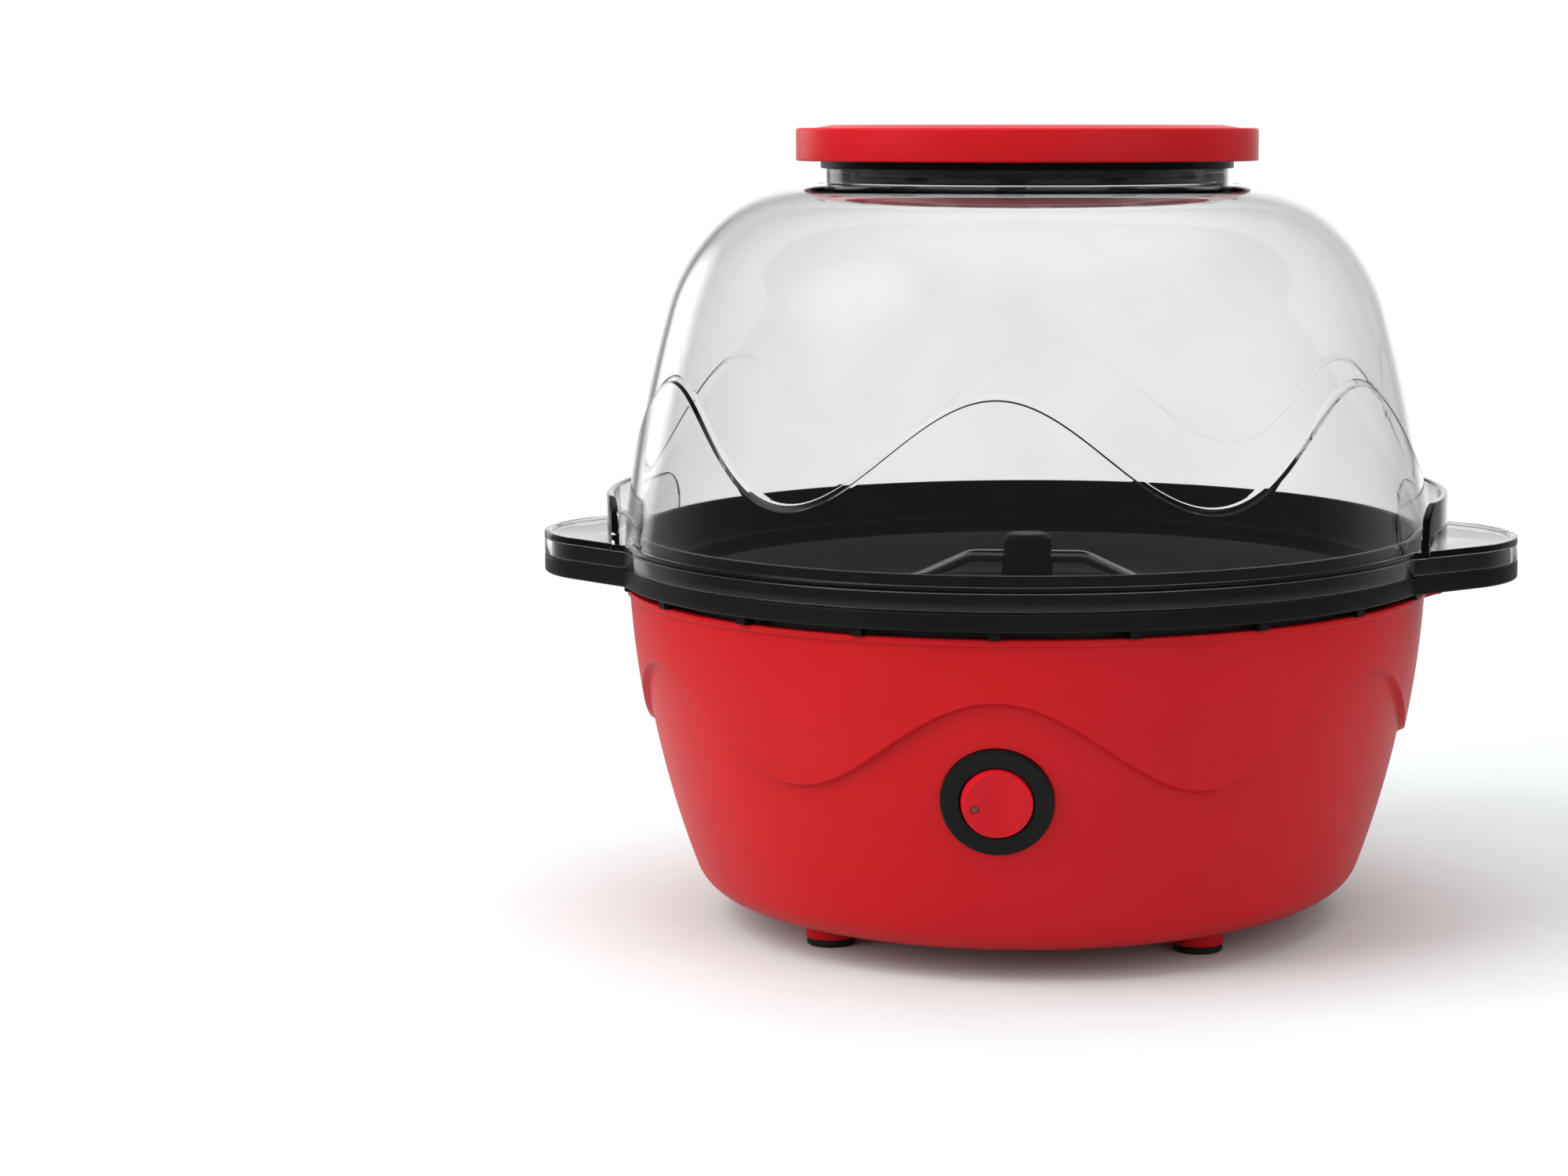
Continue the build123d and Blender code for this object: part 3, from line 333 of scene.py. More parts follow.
def base_slice(angle):
    level, step, wall = wave_height(base_wave, angle), base_wave["step"], base_wall
    half = base_wave["slope"] * step / 2
    low, high = level - half, level + half
    bead_z = rim_z - bead_height
    ledge_gap, outer_rows, inner_rows = 1.2, 22, 10
    outer = base_corner(corner_radius)
    outer += wall_rows(base_arc, wall_foot[1], low - ledge_gap, 0, outer_rows)
    outer += [(arc_reach(base_arc, low), low, 0.25), (arc_reach(base_arc, high, step), high, 0.4)]
    outer += wall_rows(base_arc, high + ledge_gap, bead_z - 0.7, step, outer_rows)
    outer += [(arc_reach(base_arc, bead_z, step), bead_z, 0.5), (bead_radius, bead_z, 0.8), (bead_radius, rim_z, 0.8)]
    inner = [(rim_inner, rim_z, 0.4)]
    inner += wall_rows(base_arc, rim_z - 2, high + wall, step - wall, inner_rows)
    inner += wall_rows(base_arc, low + wall, wall_foot[1] + 1, -wall, inner_rows)
    inner += reversed(base_corner(corner_radius - wall))
    inner += [(lip_outer, lip_z, 0), (lip_outer, lip_top_z, 0), (lip_inner, lip_top_z, 0.4), (lip_inner, lip_z, 0.4)]
    inner += [(lip_seat, lip_z, 0), (lip_seat, floor_z, 0.5)]
    return rounded(outer + inner)


housing = wrap("base_housing_skin", base_slice, turn(720))
print("housing", len(housing.data.polygons), "faces")


# %% [markdown]
# The rim carries two short ears that take the handle screws, and the wall has a round seat for the switch at the front
# and one for the cord bush at the back. Moulds form these with blocks and cores, so here they're joined and cut.

# %% Ears, switch seat and cord seat
def wall_place(side, height):
    """Matrix on the wall at the front (-1) or rear (1): Z points out of the wall, Y points up along it."""
    radius, centre_out, centre_up = base_arc
    reach = arc_reach(base_arc, height)
    out = Vector((0, side * (reach - centre_out) / radius, (height - centre_up) / radius))
    across = Vector((-side, 0, 0))
    up = out.cross(across)
    place = Matrix((across, up, out)).transposed().to_4x4()
    place.translation = Vector((0, side * reach, height)) * MM
    return place


def extruded(name, points):
    """Closed block from the points of one end followed by the points of the other."""
    count = len(points) // 2
    faces = [tuple(range(count)), tuple(range(count, 2 * count))]
    faces += [(i, (i + 1) % count, count + (i + 1) % count, count + i) for i in range(count)]
    return make_object(name, points, faces)


def prism(name, outline, half_width, side):
    """Block whose outline is drawn in X and Z and which runs half_width each way along Y."""
    return extruded(name, [(side * x * MM, y * MM, z * MM) for y in (-half_width, half_width) for x, z in outline])


ear_tip, ear_half_width, ear_lip = 145.5, 13.0, 1.4
ear_low, ear_seat = rim_z - 5.0, rim_z - 1.8
ear_root = arc_reach(base_arc, ear_low) - 1.5
screw_head_way, screw_shank_way = 3.5, 1.85
ear_outline = [(ear_root, rim_z), (ear_tip, rim_z), (ear_tip, rim_z - ear_lip), (ear_root, ear_low)]
for side in (1, -1):
    ear = tidy(prism("ear", ear_outline, ear_half_width, side))
    soft = ear.modifiers.new("edge", "BEVEL")
    soft.width, soft.segments, soft.limit_method = 0.5 * MM, 3, "ANGLE"
    carve(housing, tidy(applied(ear)), "UNION")
    for radius, high in ((screw_head_way, ear_seat), (screw_shank_way, rim_z + 1)):
        place = Matrix.Translation((side * handle_screw_x * MM, 0, 0))
        carve(housing, cylinder("screw_way", radius, 95, high, place), "DIFFERENCE")

switch_z, inlet_z = 63.3, 32.0
front, rear = wall_place(-1, switch_z), wall_place(1, inlet_z)
# Each seat is a wide shallow recess with a narrower hole through the wall.
for place, wide, deep, narrow in ((front, 18.2, 1.5, 14.15), (rear, 9.8, 1.2, 6.75)):
    outline = rounded([(0, -14, 0), (narrow, -14, 0), (narrow, -deep, 0), (wide, -deep, 0), (wide, 8, 0), (0, 8, 0)])
    carve(housing, wrap("seat", lambda angle: outline, turn(120), place), "DIFFERENCE")
done(housing, "base", "red_abs", "base_housing")

# %% [markdown]
# ## Rim collar
# The black collar closes the top of the base, carries the pan and makes the two handles. Its plan is a ring with
# two round-tipped wings, so each slice asks how far the plan reaches at that angle.

# %% Rim collar
def plan_reach(angle, inset):
    """Distance from the axis to the ring-with-wings outline, drawn in by inset."""
    away = abs((angle + math.pi / 2) % math.pi - math.pi / 2)
    ring, tip = collar_radius - inset, tip_radius - inset
    if away > flank_turn:
        return ring
    reach = tip_centre * math.cos(away) + math.sqrt(max(tip ** 2 - (tip_centre * math.sin(away)) ** 2, 0))
    lean = math.atan2(reach * math.sin(away), reach * math.cos(away) - tip_centre)
    if lean > flank_turn:
        reach = (tip_centre * math.cos(flank_turn) + tip) / math.cos(away - flank_turn)
    return max(ring, reach)


def plan_angles(near_count=4, far_count=2):
    """Angles for every slice: far_count a degree on the ring, near_count a degree round the handles."""
    corner = math.degrees(flank_turn - math.acos((tip_centre * math.cos(flank_turn) + tip_radius) / collar_radius))
    wing = 23
    near = [i / near_count for i in range(-wing * near_count, wing * near_count + 1)] + [-corner, corner]
    far = [i / far_count for i in range(360 * far_count)]
    degrees = sorted(set(round(v % 360, 4) for v in near + [v + 180 for v in near]))
    degrees += [v for v in far if wing + 0.5 < v % 180 < 180 - wing - 0.5]
    return [math.radians(v) for v in sorted(set(degrees))]


collar_wall, tier_inset, upstand_z, ledge_z = 2.4, 2.8, tier_z + 5.1, band_z + 3.6


def collar_slice(angle):
    outer, tier = plan_reach(angle, 0), plan_reach(angle, tier_inset)
    under, inner = plan_reach(angle, collar_wall), plan_reach(angle, tier_inset + collar_wall)
    return rounded([
        (outer, band_z, 0.7), (outer, deck_z, 0.7), (tier, deck_z, 0.3), (tier, tier_z, 0.6),
        (upstand_outer, tier_z, 0.4), (upstand_outer, upstand_z, 0.7), (upstand_inner, upstand_z, 0.7),
        (upstand_inner, deck_z, 0.5), (ledge_radius, ledge_z, 0.6), (ledge_radius, band_z, 0.5),
        (upstand_outer, band_z, 0.5), (upstand_outer, tier_z - collar_wall, 0.4), (inner, tier_z - collar_wall, 0.4),
        (inner, deck_z - collar_wall, 0.3), (under, deck_z - collar_wall, 0.3), (under, band_z, 0.5)])


collar = wrap("rim_collar_skin", collar_slice, plan_angles())
done(collar, "base", "black_polypropylene", "rim_collar")

# %% [markdown]
# Under the collar, twenty short tabs hold it off the base's rim and leave the narrow dark gap that lets the base
# breathe. A Geometry Nodes set-up places them on a circle, so their count and size are three numbers.

# %% Spacer tabs
def tab_nodes(material):
    tree = bpy.data.node_groups.new("spacer_tabs", "GeometryNodeTree")
    tree.interface.new_socket("Geometry", in_out="OUTPUT", socket_type="NodeSocketGeometry")
    sockets = {}
    for name, kind in (("Count", "NodeSocketInt"), ("Circle", "NodeSocketFloat"), ("Size", "NodeSocketVector")):
        sockets[name] = tree.interface.new_socket(name, in_out="INPUT", socket_type=kind).identifier
    ways = add_node(tree, "NodeGroupInput").outputs
    circle = add_node(tree, "GeometryNodeMeshCircle", {}, {"Vertices": ways["Count"], "Radius": ways["Circle"]})
    block = add_node(tree, "GeometryNodeMeshCube", {}, {"Size": ways["Size"]})
    place = add_node(tree, "GeometryNodeInputPosition").outputs["Position"]
    facing = add_node(tree, "FunctionNodeAlignRotationToVector", {"axis": "X"}, {"Vector": place})
    spread = add_node(tree, "GeometryNodeInstanceOnPoints", {}, {
        "Points": circle.outputs["Mesh"], "Instance": block.outputs["Mesh"], "Rotation": facing.outputs["Rotation"]})
    solid = add_node(tree, "GeometryNodeRealizeInstances", {}, {"Geometry": spread.outputs["Instances"]})
    coat = add_node(tree, "GeometryNodeSetMaterial", {"Material": material}, {"Geometry": solid.outputs["Geometry"]})
    add_node(tree, "NodeGroupOutput", {}, {"Geometry": coat.outputs["Geometry"]})
    return tree, sockets


tab_count, tab_circle = 20, 138.3
tab_length, tab_width, tab_height = 5.0, 3.6, 7.2
tabs = make_object("rim_collar_tabs", [], [])
tree, sockets = tab_nodes(finishes["black_polypropylene"])
grow = tabs.modifiers.new("tabs", "NODES")
grow.node_group = tree
grow[sockets["Count"]], grow[sockets["Circle"]] = tab_count, tab_circle * MM
grow[sockets["Size"]] = (tab_length * MM, tab_width * MM, tab_height * MM)
applied(tabs)
tabs.data.transform(Matrix.Rotation(math.radians(-90), 4, "Z"))
tabs.data.transform(Matrix.Translation((0, 0, (rim_z + tab_height / 2) * MM)))
done(tidy(tabs), "base", "black_polypropylene", "rim_collar")

# %% [markdown]
# Each handle is a thin moulded shell, so two ribs and a screw boss stiffen it from below.

# %% Handle ribs and bosses
boss_radius, pilot_radius, stiffener_top = 5.0, 1.75, tier_z - 1.2
rib_row, rib_half, rib_tip_inset, rib_root_radius = 26, 1.2, 4.0, 135.4
rib_end = math.sqrt((tip_radius - rib_tip_inset) ** 2 - (rib_row + rib_half) ** 2) + tip_centre
rib_root = math.sqrt(rib_root_radius ** 2 - (rib_row - rib_half) ** 2)
rib_outline = [(rib_root, band_z), (rib_end, band_z), (rib_end, stiffener_top), (rib_root, stiffener_top)]
stiffeners = []
for side in (1, -1):
    place = Matrix.Translation((side * handle_screw_x * MM, 0, 0))
    boss = cylinder("boss", boss_radius, rim_z, stiffener_top, place)
    pilot = cylinder("pilot", pilot_radius, rim_z - 1, deck_z + 1, place)
    stiffeners.append(carve(boss, pilot, "DIFFERENCE"))
    for row in (1, -1):
        rib = prism("rib", rib_outline, rib_half, side)
        rib.data.transform(Matrix.Translation((0, row * rib_row * MM, 0)))
        stiffeners.append(tidy(rib))
done(merged("handle_ribs_and_bosses", stiffeners), "base", "black_polypropylene", "rim_collar")

# %% [markdown]
# ## Clear cover
# The cover is one clear moulding: a dome with its own wave step, a skirt that drops over the collar, flat handle
# plates with a raised bead, and a neck at the top. Clear plastic shows both of its faces, so inside and outside are
# drawn in the same slice and the wall keeps its true thickness. That is what bends the light along the wave.

# %% Clear cover
cover_wall, cover_deck, cover_foot_radius, cover_lean = 2.2, 73.8, 138.8, 74
# Each bend's radius, the lean of the wall in degrees where it starts and ends, and its rows of faces.
shoulder_bends = ((46.6, 0, 45, 12), (65.4, 45, cover_lean, 10))
tray_hole, bead_rise, bead_width, plate_gap = 62.8, 0.8, 2.6, 0.15


def shoulder_rows(offset):
    """The two round bends from the flat top down to the side wall."""
    rows, start = [], (cover_deck, cover_top_z + offset)
    for bend, first, last, count in shoulder_bends:
        radius, a, b = bend + offset, math.radians(first), math.radians(last)
        for i in range(count):
            t = math.radians(first + (last - first) * i / count)
            rows.append((start[0] + radius * (math.sin(t) - math.sin(a)),
                         start[1] - radius * (math.cos(a) - math.cos(t)), 0))
        start = (start[0] + radius * (math.sin(b) - math.sin(a)), start[1] - radius * (math.cos(a) - math.cos(b)))
    return rows, start


cover_arc = arc_through(shoulder_rows(0)[1], cover_lean, (cover_foot_radius, tier_z))


def cover_wall_rows(angle, offset, low, high):
    """Side wall from low to high, thicker below the wave's ledge."""
    level, step = wave_height(cover_wave, angle), cover_wave["step"]
    half = abs(cover_wave["slope"]) * step / 2
    ledge_gap, ledge_rounding, lower_rows, upper_rows = 1.0, 0.8, 14, 11
    rows = wall_rows(cover_arc, low, level - half - ledge_gap, offset + step, lower_rows)
    rows += [(arc_reach(cover_arc, level - half, offset + step), level - half, ledge_rounding)]
    rows += [(arc_reach(cover_arc, level + half, offset), level + half, ledge_rounding)]
    return rows + wall_rows(cover_arc, level + half + ledge_gap, high, offset, upper_rows)


def cover_slice(angle):
    edge, inside = plan_reach(angle, 0), plan_reach(angle, 2.0)
    bead_z, skirt_z, under_z = wing_z + bead_rise, deck_z + 0.4, tier_z + plate_gap
    foot = arc_reach(cover_arc, bead_z, cover_wave["step"])
    bead = max(plan_reach(angle, bead_width), foot + 0.4)
    # The plate lies below its bead on the wings and rises to meet it where the two run together on the ring.
    sink = min(max((bead - foot - 0.6) / 1.5, 0), 1)
    plate_z = wing_z + bead_rise * (1 - sink) - 0.02
    bends, hip = shoulder_rows(0)
    inner_bends, inner_hip = shoulder_rows(-cover_wall)
    outer = [(edge, skirt_z, 0.5), (edge, bead_z, 0.7), (bead, bead_z, 0.3), (bead - 0.2, plate_z, 0.2)]
    outer += [(foot + 0.05, plate_z, 0)]
    outer += cover_wall_rows(angle, 0, wing_z + 1.2, hip[1]) + list(reversed(bends))
    outer += [(neck_outer, cover_top_z, 0.6), (neck_outer, neck_z, 0.5)]
    outer += [(neck_inner, neck_z, 0.5), (neck_inner, cover_top_z, 0.4)]
    outer += [(tray_hole, cover_top_z, 0.5), (tray_hole, cover_top_z - cover_wall, 0.5)]
    inner = inner_bends + list(reversed(cover_wall_rows(angle, -cover_wall, tier_z + 0.6, inner_hip[1])))
    inner += [(arc_reach(cover_arc, tier_z, cover_wave["step"] - cover_wall) + 0.5, under_z, 0)]
    inner += [(inside, under_z, 0.5), (inside, skirt_z, 0.4)]
    return rounded(outer + inner, steps=3)


cover = wrap("cover_dome_skin", cover_slice, plan_angles(near_count=3, far_count=1))
print("cover", len(cover.data.polygons), "faces")


# %% [markdown]
# A low curved wall stands on each handle plate to keep fingers off the warm dome. Steam leaves through twelve slots
# round the neck.

# %% Finger guards and steam slots
slot_count = 12


def guard(side):
    inner, outer, half, corner, high = 143.0, 145.5, 49.0, 9.0, wing_z + 16.4
    low, steps = tier_z + 0.3, 40
    spread = [half * math.sin(math.pi / 2 * i / steps) for i in range(-steps, steps + 1)]
    points = []
    for y in spread:
        past = max(abs(y) - (half - corner), 0)
        top = high - corner + math.sqrt(max(corner ** 2 - past ** 2, 0))
        outline = rounded([(inner, low, 0), (outer, low, 0), (outer, top, 1.0), (inner, top, 1.0)])
        for out, up in outline:
            points.append((side * math.sqrt(out ** 2 - y ** 2) * MM, y * MM, up * MM))
    rows = len(outline)
    faces = [tuple(range(rows)), tuple(range(len(points) - rows, len(points)))]
    for i in range(len(spread) - 1):
        for k in range(rows):
            m = (k + 1) % rows
            faces.append((i * rows + k, i * rows + m, (i + 1) * rows + m, (i + 1) * rows + k))
    return tidy(make_object("guard", points, faces))


def slot_cutter(number):
    reach, half, wide, steps = (neck_outer + cover_deck) / 2, 3.9, 1.1, 12
    low, high = cover_top_z - 2 * cover_wall, cover_top_z + 2
    outline = []
    for end in (1, -1):
        for i in range(steps + 1):
            t = math.radians(180 * i / steps)
            outline.append((end * wide * math.cos(t), end * (half + wide * math.sin(t))))
    cutter = extruded("slot", [((reach + x) * MM, y * MM, z * MM) for z in (low, high) for x, y in outline])
    cutter.data.transform(Matrix.Rotation(math.radians(360 * number / slot_count - 90), 4, "Z"))
    return tidy(cutter)


for side in (1, -1):
    carve(cover, guard(side), "UNION")
carve(cover, merged("slots", [slot_cutter(i) for i in range(slot_count)]), "DIFFERENCE")
done(cover, "cover", "clear_polycarbonate", "cover_dome")

# %% [markdown]
# ## Butter tray, neck band and cap
# These three are turned shapes, like pieces on a lathe, so one outline each is enough. The cap doubles as the foot when
# the cover is turned over into a bowl, so its top has a flat standing ring.

# %% Butter tray
tray_z, tray_rim_z, gutter_z = cover_top_z + 0.02, cover_top_z + 2.6, cover_top_z + 1.6
cone_z, cone_under_z = cover_top_z + 7, cover_top_z + 5.5
tray_radius, gutter_radius, cone_foot, cone_top = 66.7, 65.2, 45, 28
tray_wall = 1.5
drip_count, drip_circle, drip_radius = 24, 56, 1.1
tray_outline = rounded([
    (cone_foot - tray_wall, tray_z, 0.3), (tray_radius, tray_z, 0.6), (tray_radius, tray_rim_z, 0.5),
    (gutter_radius, tray_rim_z, 0.5), (gutter_radius, gutter_z, 0.4), (cone_foot, gutter_z, 0.8),
    (cone_top, cone_z, 1.0), (0, cone_z, 0), (0, cone_under_z, 0), (cone_top - tray_wall, cone_under_z, 0.6)])
tray = wrap("butter_tray_skin", lambda angle: tray_outline, turn(360))
drips = []
for i in range(drip_count):
    spot = Matrix.Rotation(math.radians(360 * i / drip_count), 4, "Z") @ Matrix.Translation((drip_circle * MM, 0, 0))
    drips.append(cylinder("drip", drip_radius, cover_top_z - 1, cover_top_z + 3, spot))
carve(tray, merged("drips", drips), "DIFFERENCE")
done(tray, "cover", "black_polypropylene", "butter_tray")

# %% Cap
shoulder_z, cap_low = cap_top_z - 1.0, cap_top_z - 12.1
cap_inner, cap_radius = 76.9, 79.3
# The standing ring rises between its outer and inner foot and is flat between its two crests.
ring_foot_out, ring_crest_out, ring_crest_in, ring_foot_in = 73, 67, 60, 55
cap_outline = rounded([
    (cap_inner, cap_low, 0.4), (cap_radius, cap_low, 0.6), (cap_radius, shoulder_z, 1.2),
    (ring_foot_out, shoulder_z, 1.0), (ring_crest_out, cap_top_z, 1.0), (ring_crest_in, cap_top_z, 1.0),
    (ring_foot_in, shoulder_z, 1.0), (0, shoulder_z, 0), (0, cap_under_z, 0), (cap_inner, cap_under_z, 0.4)])
done(wrap("cap_skin", lambda angle: cap_outline, turn(360)), "cap", "red_abs", "cap")

# %% Neck band
sleeve_inner, sleeve_outer, sleeve_low = 69.5, 70.9, cap_low - 2.5
flange_inner, flange_outer = 64.2, 76.6
band_outline = rounded([
    (sleeve_inner, sleeve_low, 0.3), (sleeve_outer, sleeve_low, 0.4), (sleeve_outer, neck_z, 0.3),
    (flange_outer, neck_z, 0.3), (flange_outer, cap_under_z, 0.3), (flange_inner, cap_under_z, 0.4),
    (flange_inner, neck_z, 0.4), (sleeve_inner, neck_z, 0.3)])
done(wrap("cap_ring_skin", lambda angle: band_outline, turn(360)), "cap", "black_polypropylene", "cap_ring")

# %% [markdown]
# ## Power switch
# The bezel is a turned ring on the front wall. The rocker is cut from a ball about its pivot, with a shallow trough
# across its face; that trough is worked out for each slice, which keeps its soft edge even all round.

# %% Power switch
bezel_inner, bezel_neck, bezel_radius = 11.9, 14, 17.9
bezel_back, bezel_seat, bezel_face = -12, -1.5, 1.0
rocker_ball, rocker_face, rocker_back, pivot_depth, rocker_tilt = 11.6, 4.0, -4.0, 1.0, 7
trough_radius, trough_depth = 30.0, 0.7
bezel_outline = rounded([
    (bezel_inner, bezel_back, 0), (bezel_neck, bezel_back, 0), (bezel_neck, bezel_seat, 0),
    (bezel_radius, bezel_seat, 0.2), (bezel_radius, bezel_face, 0.8), (bezel_inner, bezel_face, 0.4)])
done(wrap("switch_bezel_skin", lambda angle: bezel_outline, turn(180), front), "base", "black_polypropylene",
     "switch_bezel")


def trough_height(across):
    """Height of the trough's round floor at a distance across it."""
    return rocker_face - trough_depth + trough_radius - math.sqrt(trough_radius ** 2 - across ** 2)


def rocker_slice(angle):
    def height(out):
        return min(rocker_face, trough_height(out * math.cos(angle)))

    edge, top_rows, side_rows = rocker_ball, 24, 8
    # The rim lies where the face meets the ball; a few rounds of going back and forth find it.
    for _ in range(20):
        edge = math.sqrt(rocker_ball ** 2 - height(edge) ** 2)
    top = [(edge * i / top_rows, height(edge * i / top_rows), 0) for i in range(top_rows)]
    rim = [(edge, height(edge), 0.3)]
    side = []
    for i in range(1, side_rows + 1):
        up = height(edge) - (height(edge) - rocker_back) * i / side_rows
        side.append((math.sqrt(rocker_ball ** 2 - up ** 2), up, 0))
    return rounded(top + rim + side + [(0, rocker_back, 0)])


lens_out, lens_drop, lens_radius, lens_hole, lens_low, lens_sink = 7.3, 0.9, 1.3, 1.42, 0.3, 0.25
pivot = front @ Matrix.Translation((0, 0, -pivot_depth * MM))
rocker_place = pivot @ Matrix.Rotation(math.radians(rocker_tilt), 4, "Y")
rocker = wrap("power_rocker_skin", rocker_slice, turn(180), rocker_place)
lens_place = rocker_place @ Matrix.Translation((-lens_out * MM, -lens_drop * MM, 0))
carve(rocker, cylinder("lens_hole", lens_hole, lens_low, 2 * rocker_face, lens_place), "DIFFERENCE")
done(rocker, "rocker", "red_rocker", "power_rocker")

# %% [markdown]
# A small smoked lens shows the lamp inside the rocker. It's a plug with a softened rim, a little below the face.

# %% Indicator lens
lens_top = trough_height(lens_out) - lens_sink
lens_outline = rounded([(0, lens_low, 0), (lens_radius, lens_low, 0), (lens_radius, lens_top, 0.35), (0, lens_top, 0)])
done(wrap("indicator_lens_skin", lambda angle: lens_outline, turn(48), lens_place), "rocker", "smoked_lens",
     "indicator_lens")

# %% [markdown]
# ## Pieces taken from the construction
# The remaining visible pieces keep their construction shape. Their triangles are joined, their flats cleaned and
# their edges softened a little, because nothing moulded or pressed has a perfectly sharp edge.

# %% Softened construction pieces
slots = {row["node"]: row["material_slot"] for row in frame["record"]["subparts"]}
bodies = {node: body for body, members in frame["record"]["behaviour"]["bodies"].items() for node in members}
for node, edge in (("bottom_cover", 0.5), ("foot_pads", 0.5), ("cord_inlet", 0.4), ("popping_pan", 0.4),
                   ("stir_hub", 0.3), ("stir_rod", 0.3), ("shaft_bushing", 0.2), ("pan_gasket", 0.0)):
    done(dressed_copy(node, edge), bodies[node], slots[node], node)

# %% Materials for the pieces inside
for node, obj in frame["nodes"].items():
    obj.data.materials.clear()
    obj.data.materials.append(finishes[slots[node]])

# %% [markdown]
# ## Stage
# A pale floor, a large soft light at the left, a weaker one at the right, another overhead, and a white background.

# %% Floor
def fading_card(name, near, far):
    """White card that thins out to nothing between two distances, so that it ends in the white background."""
    material = surface(name, ("#E0E5E5", "#E2E7E7"), (0.8, 0.9), 2.0, 0.0, {"Specular IOR Level": 0.0})
    tree = material.node_tree
    pale = tree.nodes["Color Ramp"].outputs["Color"]
    path = add_node(tree, "ShaderNodeLightPath").outputs
    shade = add_node(tree, "ShaderNodeMix", {"data_type": "RGBA"}, {"Factor": path["Is Camera Ray"]})
    shade.inputs[6].default_value = linear("#C0C0C0")
    tree.links.new(pale, shade.inputs[7])
    tree.links.new(shade.outputs[2], tree.nodes["Principled BSDF"].inputs["Base Color"])
    card = tree.nodes["Principled BSDF"].outputs["BSDF"]
    place = tree.nodes["Texture Coordinate"].outputs["Object"]
    away = add_node(tree, "ShaderNodeVectorMath", {"operation": "LENGTH"}, {"Vector": place}).outputs["Value"]
    fade = add_node(tree, "ShaderNodeMapRange", {"From Min": near, "From Max": far, "interpolation_type": "SMOOTHSTEP"},
                    {"Value": away}).outputs["Result"]
    clear = add_node(tree, "ShaderNodeBsdfTransparent").outputs["BSDF"]
    blend = add_node(tree, "ShaderNodeMixShader", {}, {"Fac": fade})
    tree.links.new(card, blend.inputs[1])
    tree.links.new(clear, blend.inputs[2])
    tree.links.new(blend.outputs["Shader"], tree.nodes["Material Output"].inputs["Surface"])
    return material


floor = make_object("floor", [(-2, -2, 0), (2, -2, 0), (2, 2, 0), (-2, 2, 0)], [(0, 1, 2, 3)])
floor.data.materials.append(fading_card("matt_white_card", 0.25, 0.8))


# %% Lights
def soft_light(name, place, aim, size, power):
    """Area light that shines on the pieces but doesn't show as a hard shape in the polished ones."""
    lamp = bpy.data.lights.new(name, "AREA")
    lamp.shape, lamp.size, lamp.size_y, lamp.energy = "RECTANGLE", size[0], size[1], power
    obj = bpy.data.objects.new(name, lamp)
    scene.collection.objects.link(obj)
    obj.location = place
    obj.visible_glossy = obj.visible_transmission = False
    obj.rotation_euler = (Vector(aim) - Vector(place)).to_track_quat("-Z", "Y").to_euler()


soft_light("key_light", (-1.7, -0.9, 1.3), (0, 0, 0.12), (1.6, 2.4), 50.0)
soft_light("fill_light", (1.6, -1.4, 0.9), (0, 0, 0.12), (1.8, 2.0), 16.0)
soft_light("top_light", (0, 0.1, 2.2), (0, 0, 0.1), (3.0, 3.0), 40.0)

# %% World
world = bpy.data.worlds.new("white_studio")
scene.world = world
world.use_nodes = True
tree = world.node_tree
tree.nodes.clear()
path = add_node(tree, "ShaderNodeLightPath").outputs
heading = add_node(tree, "ShaderNodeTexCoord").outputs["Generated"]
axes = add_node(tree, "ShaderNodeSeparateXYZ", {}, {"Vector": heading}).outputs


def ramp(value, start, end, low, high):
    return add_node(tree, "ShaderNodeMapRange", {
        "From Min": start, "From Max": end, "To Min": low, "To Max": high, "interpolation_type": "SMOOTHSTEP"},
        {"Value": value}).outputs["Result"]


def combine(operation, first, second):
    node = add_node(tree, "ShaderNodeMath", {"operation": operation})
    tree.links.new(first, node.inputs[0])
    tree.links.new(second, node.inputs[1])
    return node.outputs["Value"]


def softbox(centre, inner, outer, strength):
    """Round bright patch of the studio, soft at its edge, as polished pieces mirror it."""
    aim = Vector(centre).normalized()
    facing = add_node(tree, "ShaderNodeVectorMath", {"operation": "DOT_PRODUCT"}, {0: heading})
    facing.inputs[1].default_value = aim
    return ramp(facing.outputs["Value"], math.cos(math.radians(outer)), math.cos(math.radians(inner)), 0.0, strength)


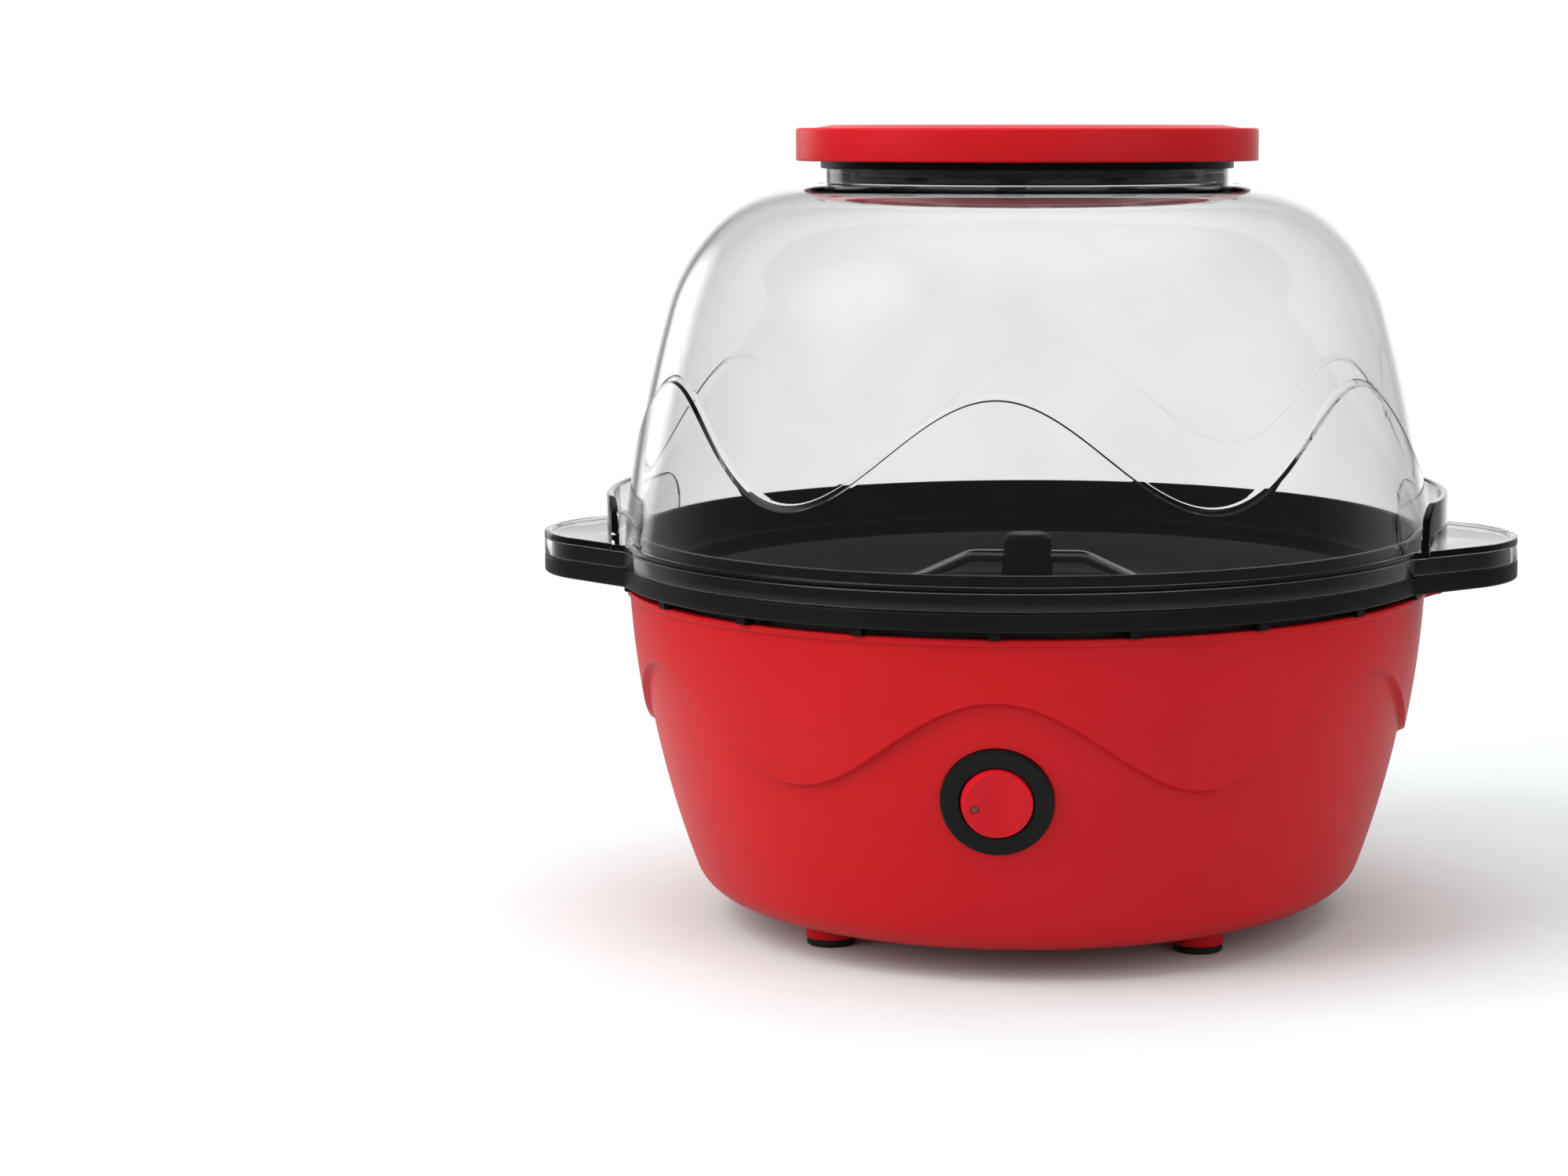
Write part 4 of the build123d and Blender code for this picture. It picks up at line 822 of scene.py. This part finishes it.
# Polished pieces mirror a dim room in front, the white backdrop behind and soft boxes left and above.
backdrop = combine("ADD", ramp(axes["Y"], 0.0, 0.88, 0.08, 0.30), ramp(axes["Y"], 0.88, 0.985, 0.0, 0.9))
mirrored = combine("ADD", backdrop, softbox((-0.70, -0.35, 0.62), 2, 24, 0.8))
mirrored = combine("ADD", mirrored, softbox((-0.66, 0.75, 0.10), 3, 15, 1.2))
mirrored = combine("ADD", mirrored, softbox((0.0, 0.1, 1.0), 8, 48, 0.6))
ambient = ramp(axes["Y"], 0.4, 0.9, 0.40, 0.95)
# Light bent upward by the clear pieces meets the dim ceiling of the studio, which draws their edges.
ceiling = ramp(axes["Z"], 0.25, 0.7, 1.0, 0.2)


def choose(factor, first, second):
    mix = add_node(tree, "ShaderNodeMixShader", {}, {"Fac": factor})
    tree.links.new(first, mix.inputs[1])
    tree.links.new(second, mix.inputs[2])
    return mix.outputs["Shader"]


def glow(strength):
    return add_node(tree, "ShaderNodeBackground", {"Color": (1, 1, 1, 1)}, {"Strength": strength}).outputs["Background"]


# A ray that was mirrored anywhere on its way sees the studio; one that only passed through sees the white behind.
white = add_node(tree, "ShaderNodeBackground", {"Color": (1, 1, 1, 1), "Strength": 1.0}).outputs["Background"]
polished = combine("SUBTRACT", ramp(path["Glossy Depth"], 0.0, 1.0, 0.0, 1.0), path["Is Diffuse Ray"])
around = choose(path["Is Transmission Ray"], glow(ambient), glow(ceiling))
around = choose(polished, around, glow(mirrored))
around = choose(path["Is Camera Ray"], around, white)
add_node(tree, "ShaderNodeOutputWorld", {}, {"Surface": around})
scene.view_settings.view_transform = "Standard"

# %% Camera
lens = bpy.data.cameras.new("camera")
lens.lens, lens.sensor_width, lens.sensor_fit = 73.08, 36.0, "HORIZONTAL"
lens.shift_x, lens.shift_y = -0.1552, 0.0
camera = bpy.data.objects.new("camera", lens)
scene.collection.objects.link(camera)
away, height, swing, tilt = 1.1039, 0.2716, math.radians(4.2), math.radians(81.8)
camera.location = (away * math.sin(swing), -away * math.cos(swing), height)
camera.rotation_euler = (tilt, 0, swing)
scene.camera = camera
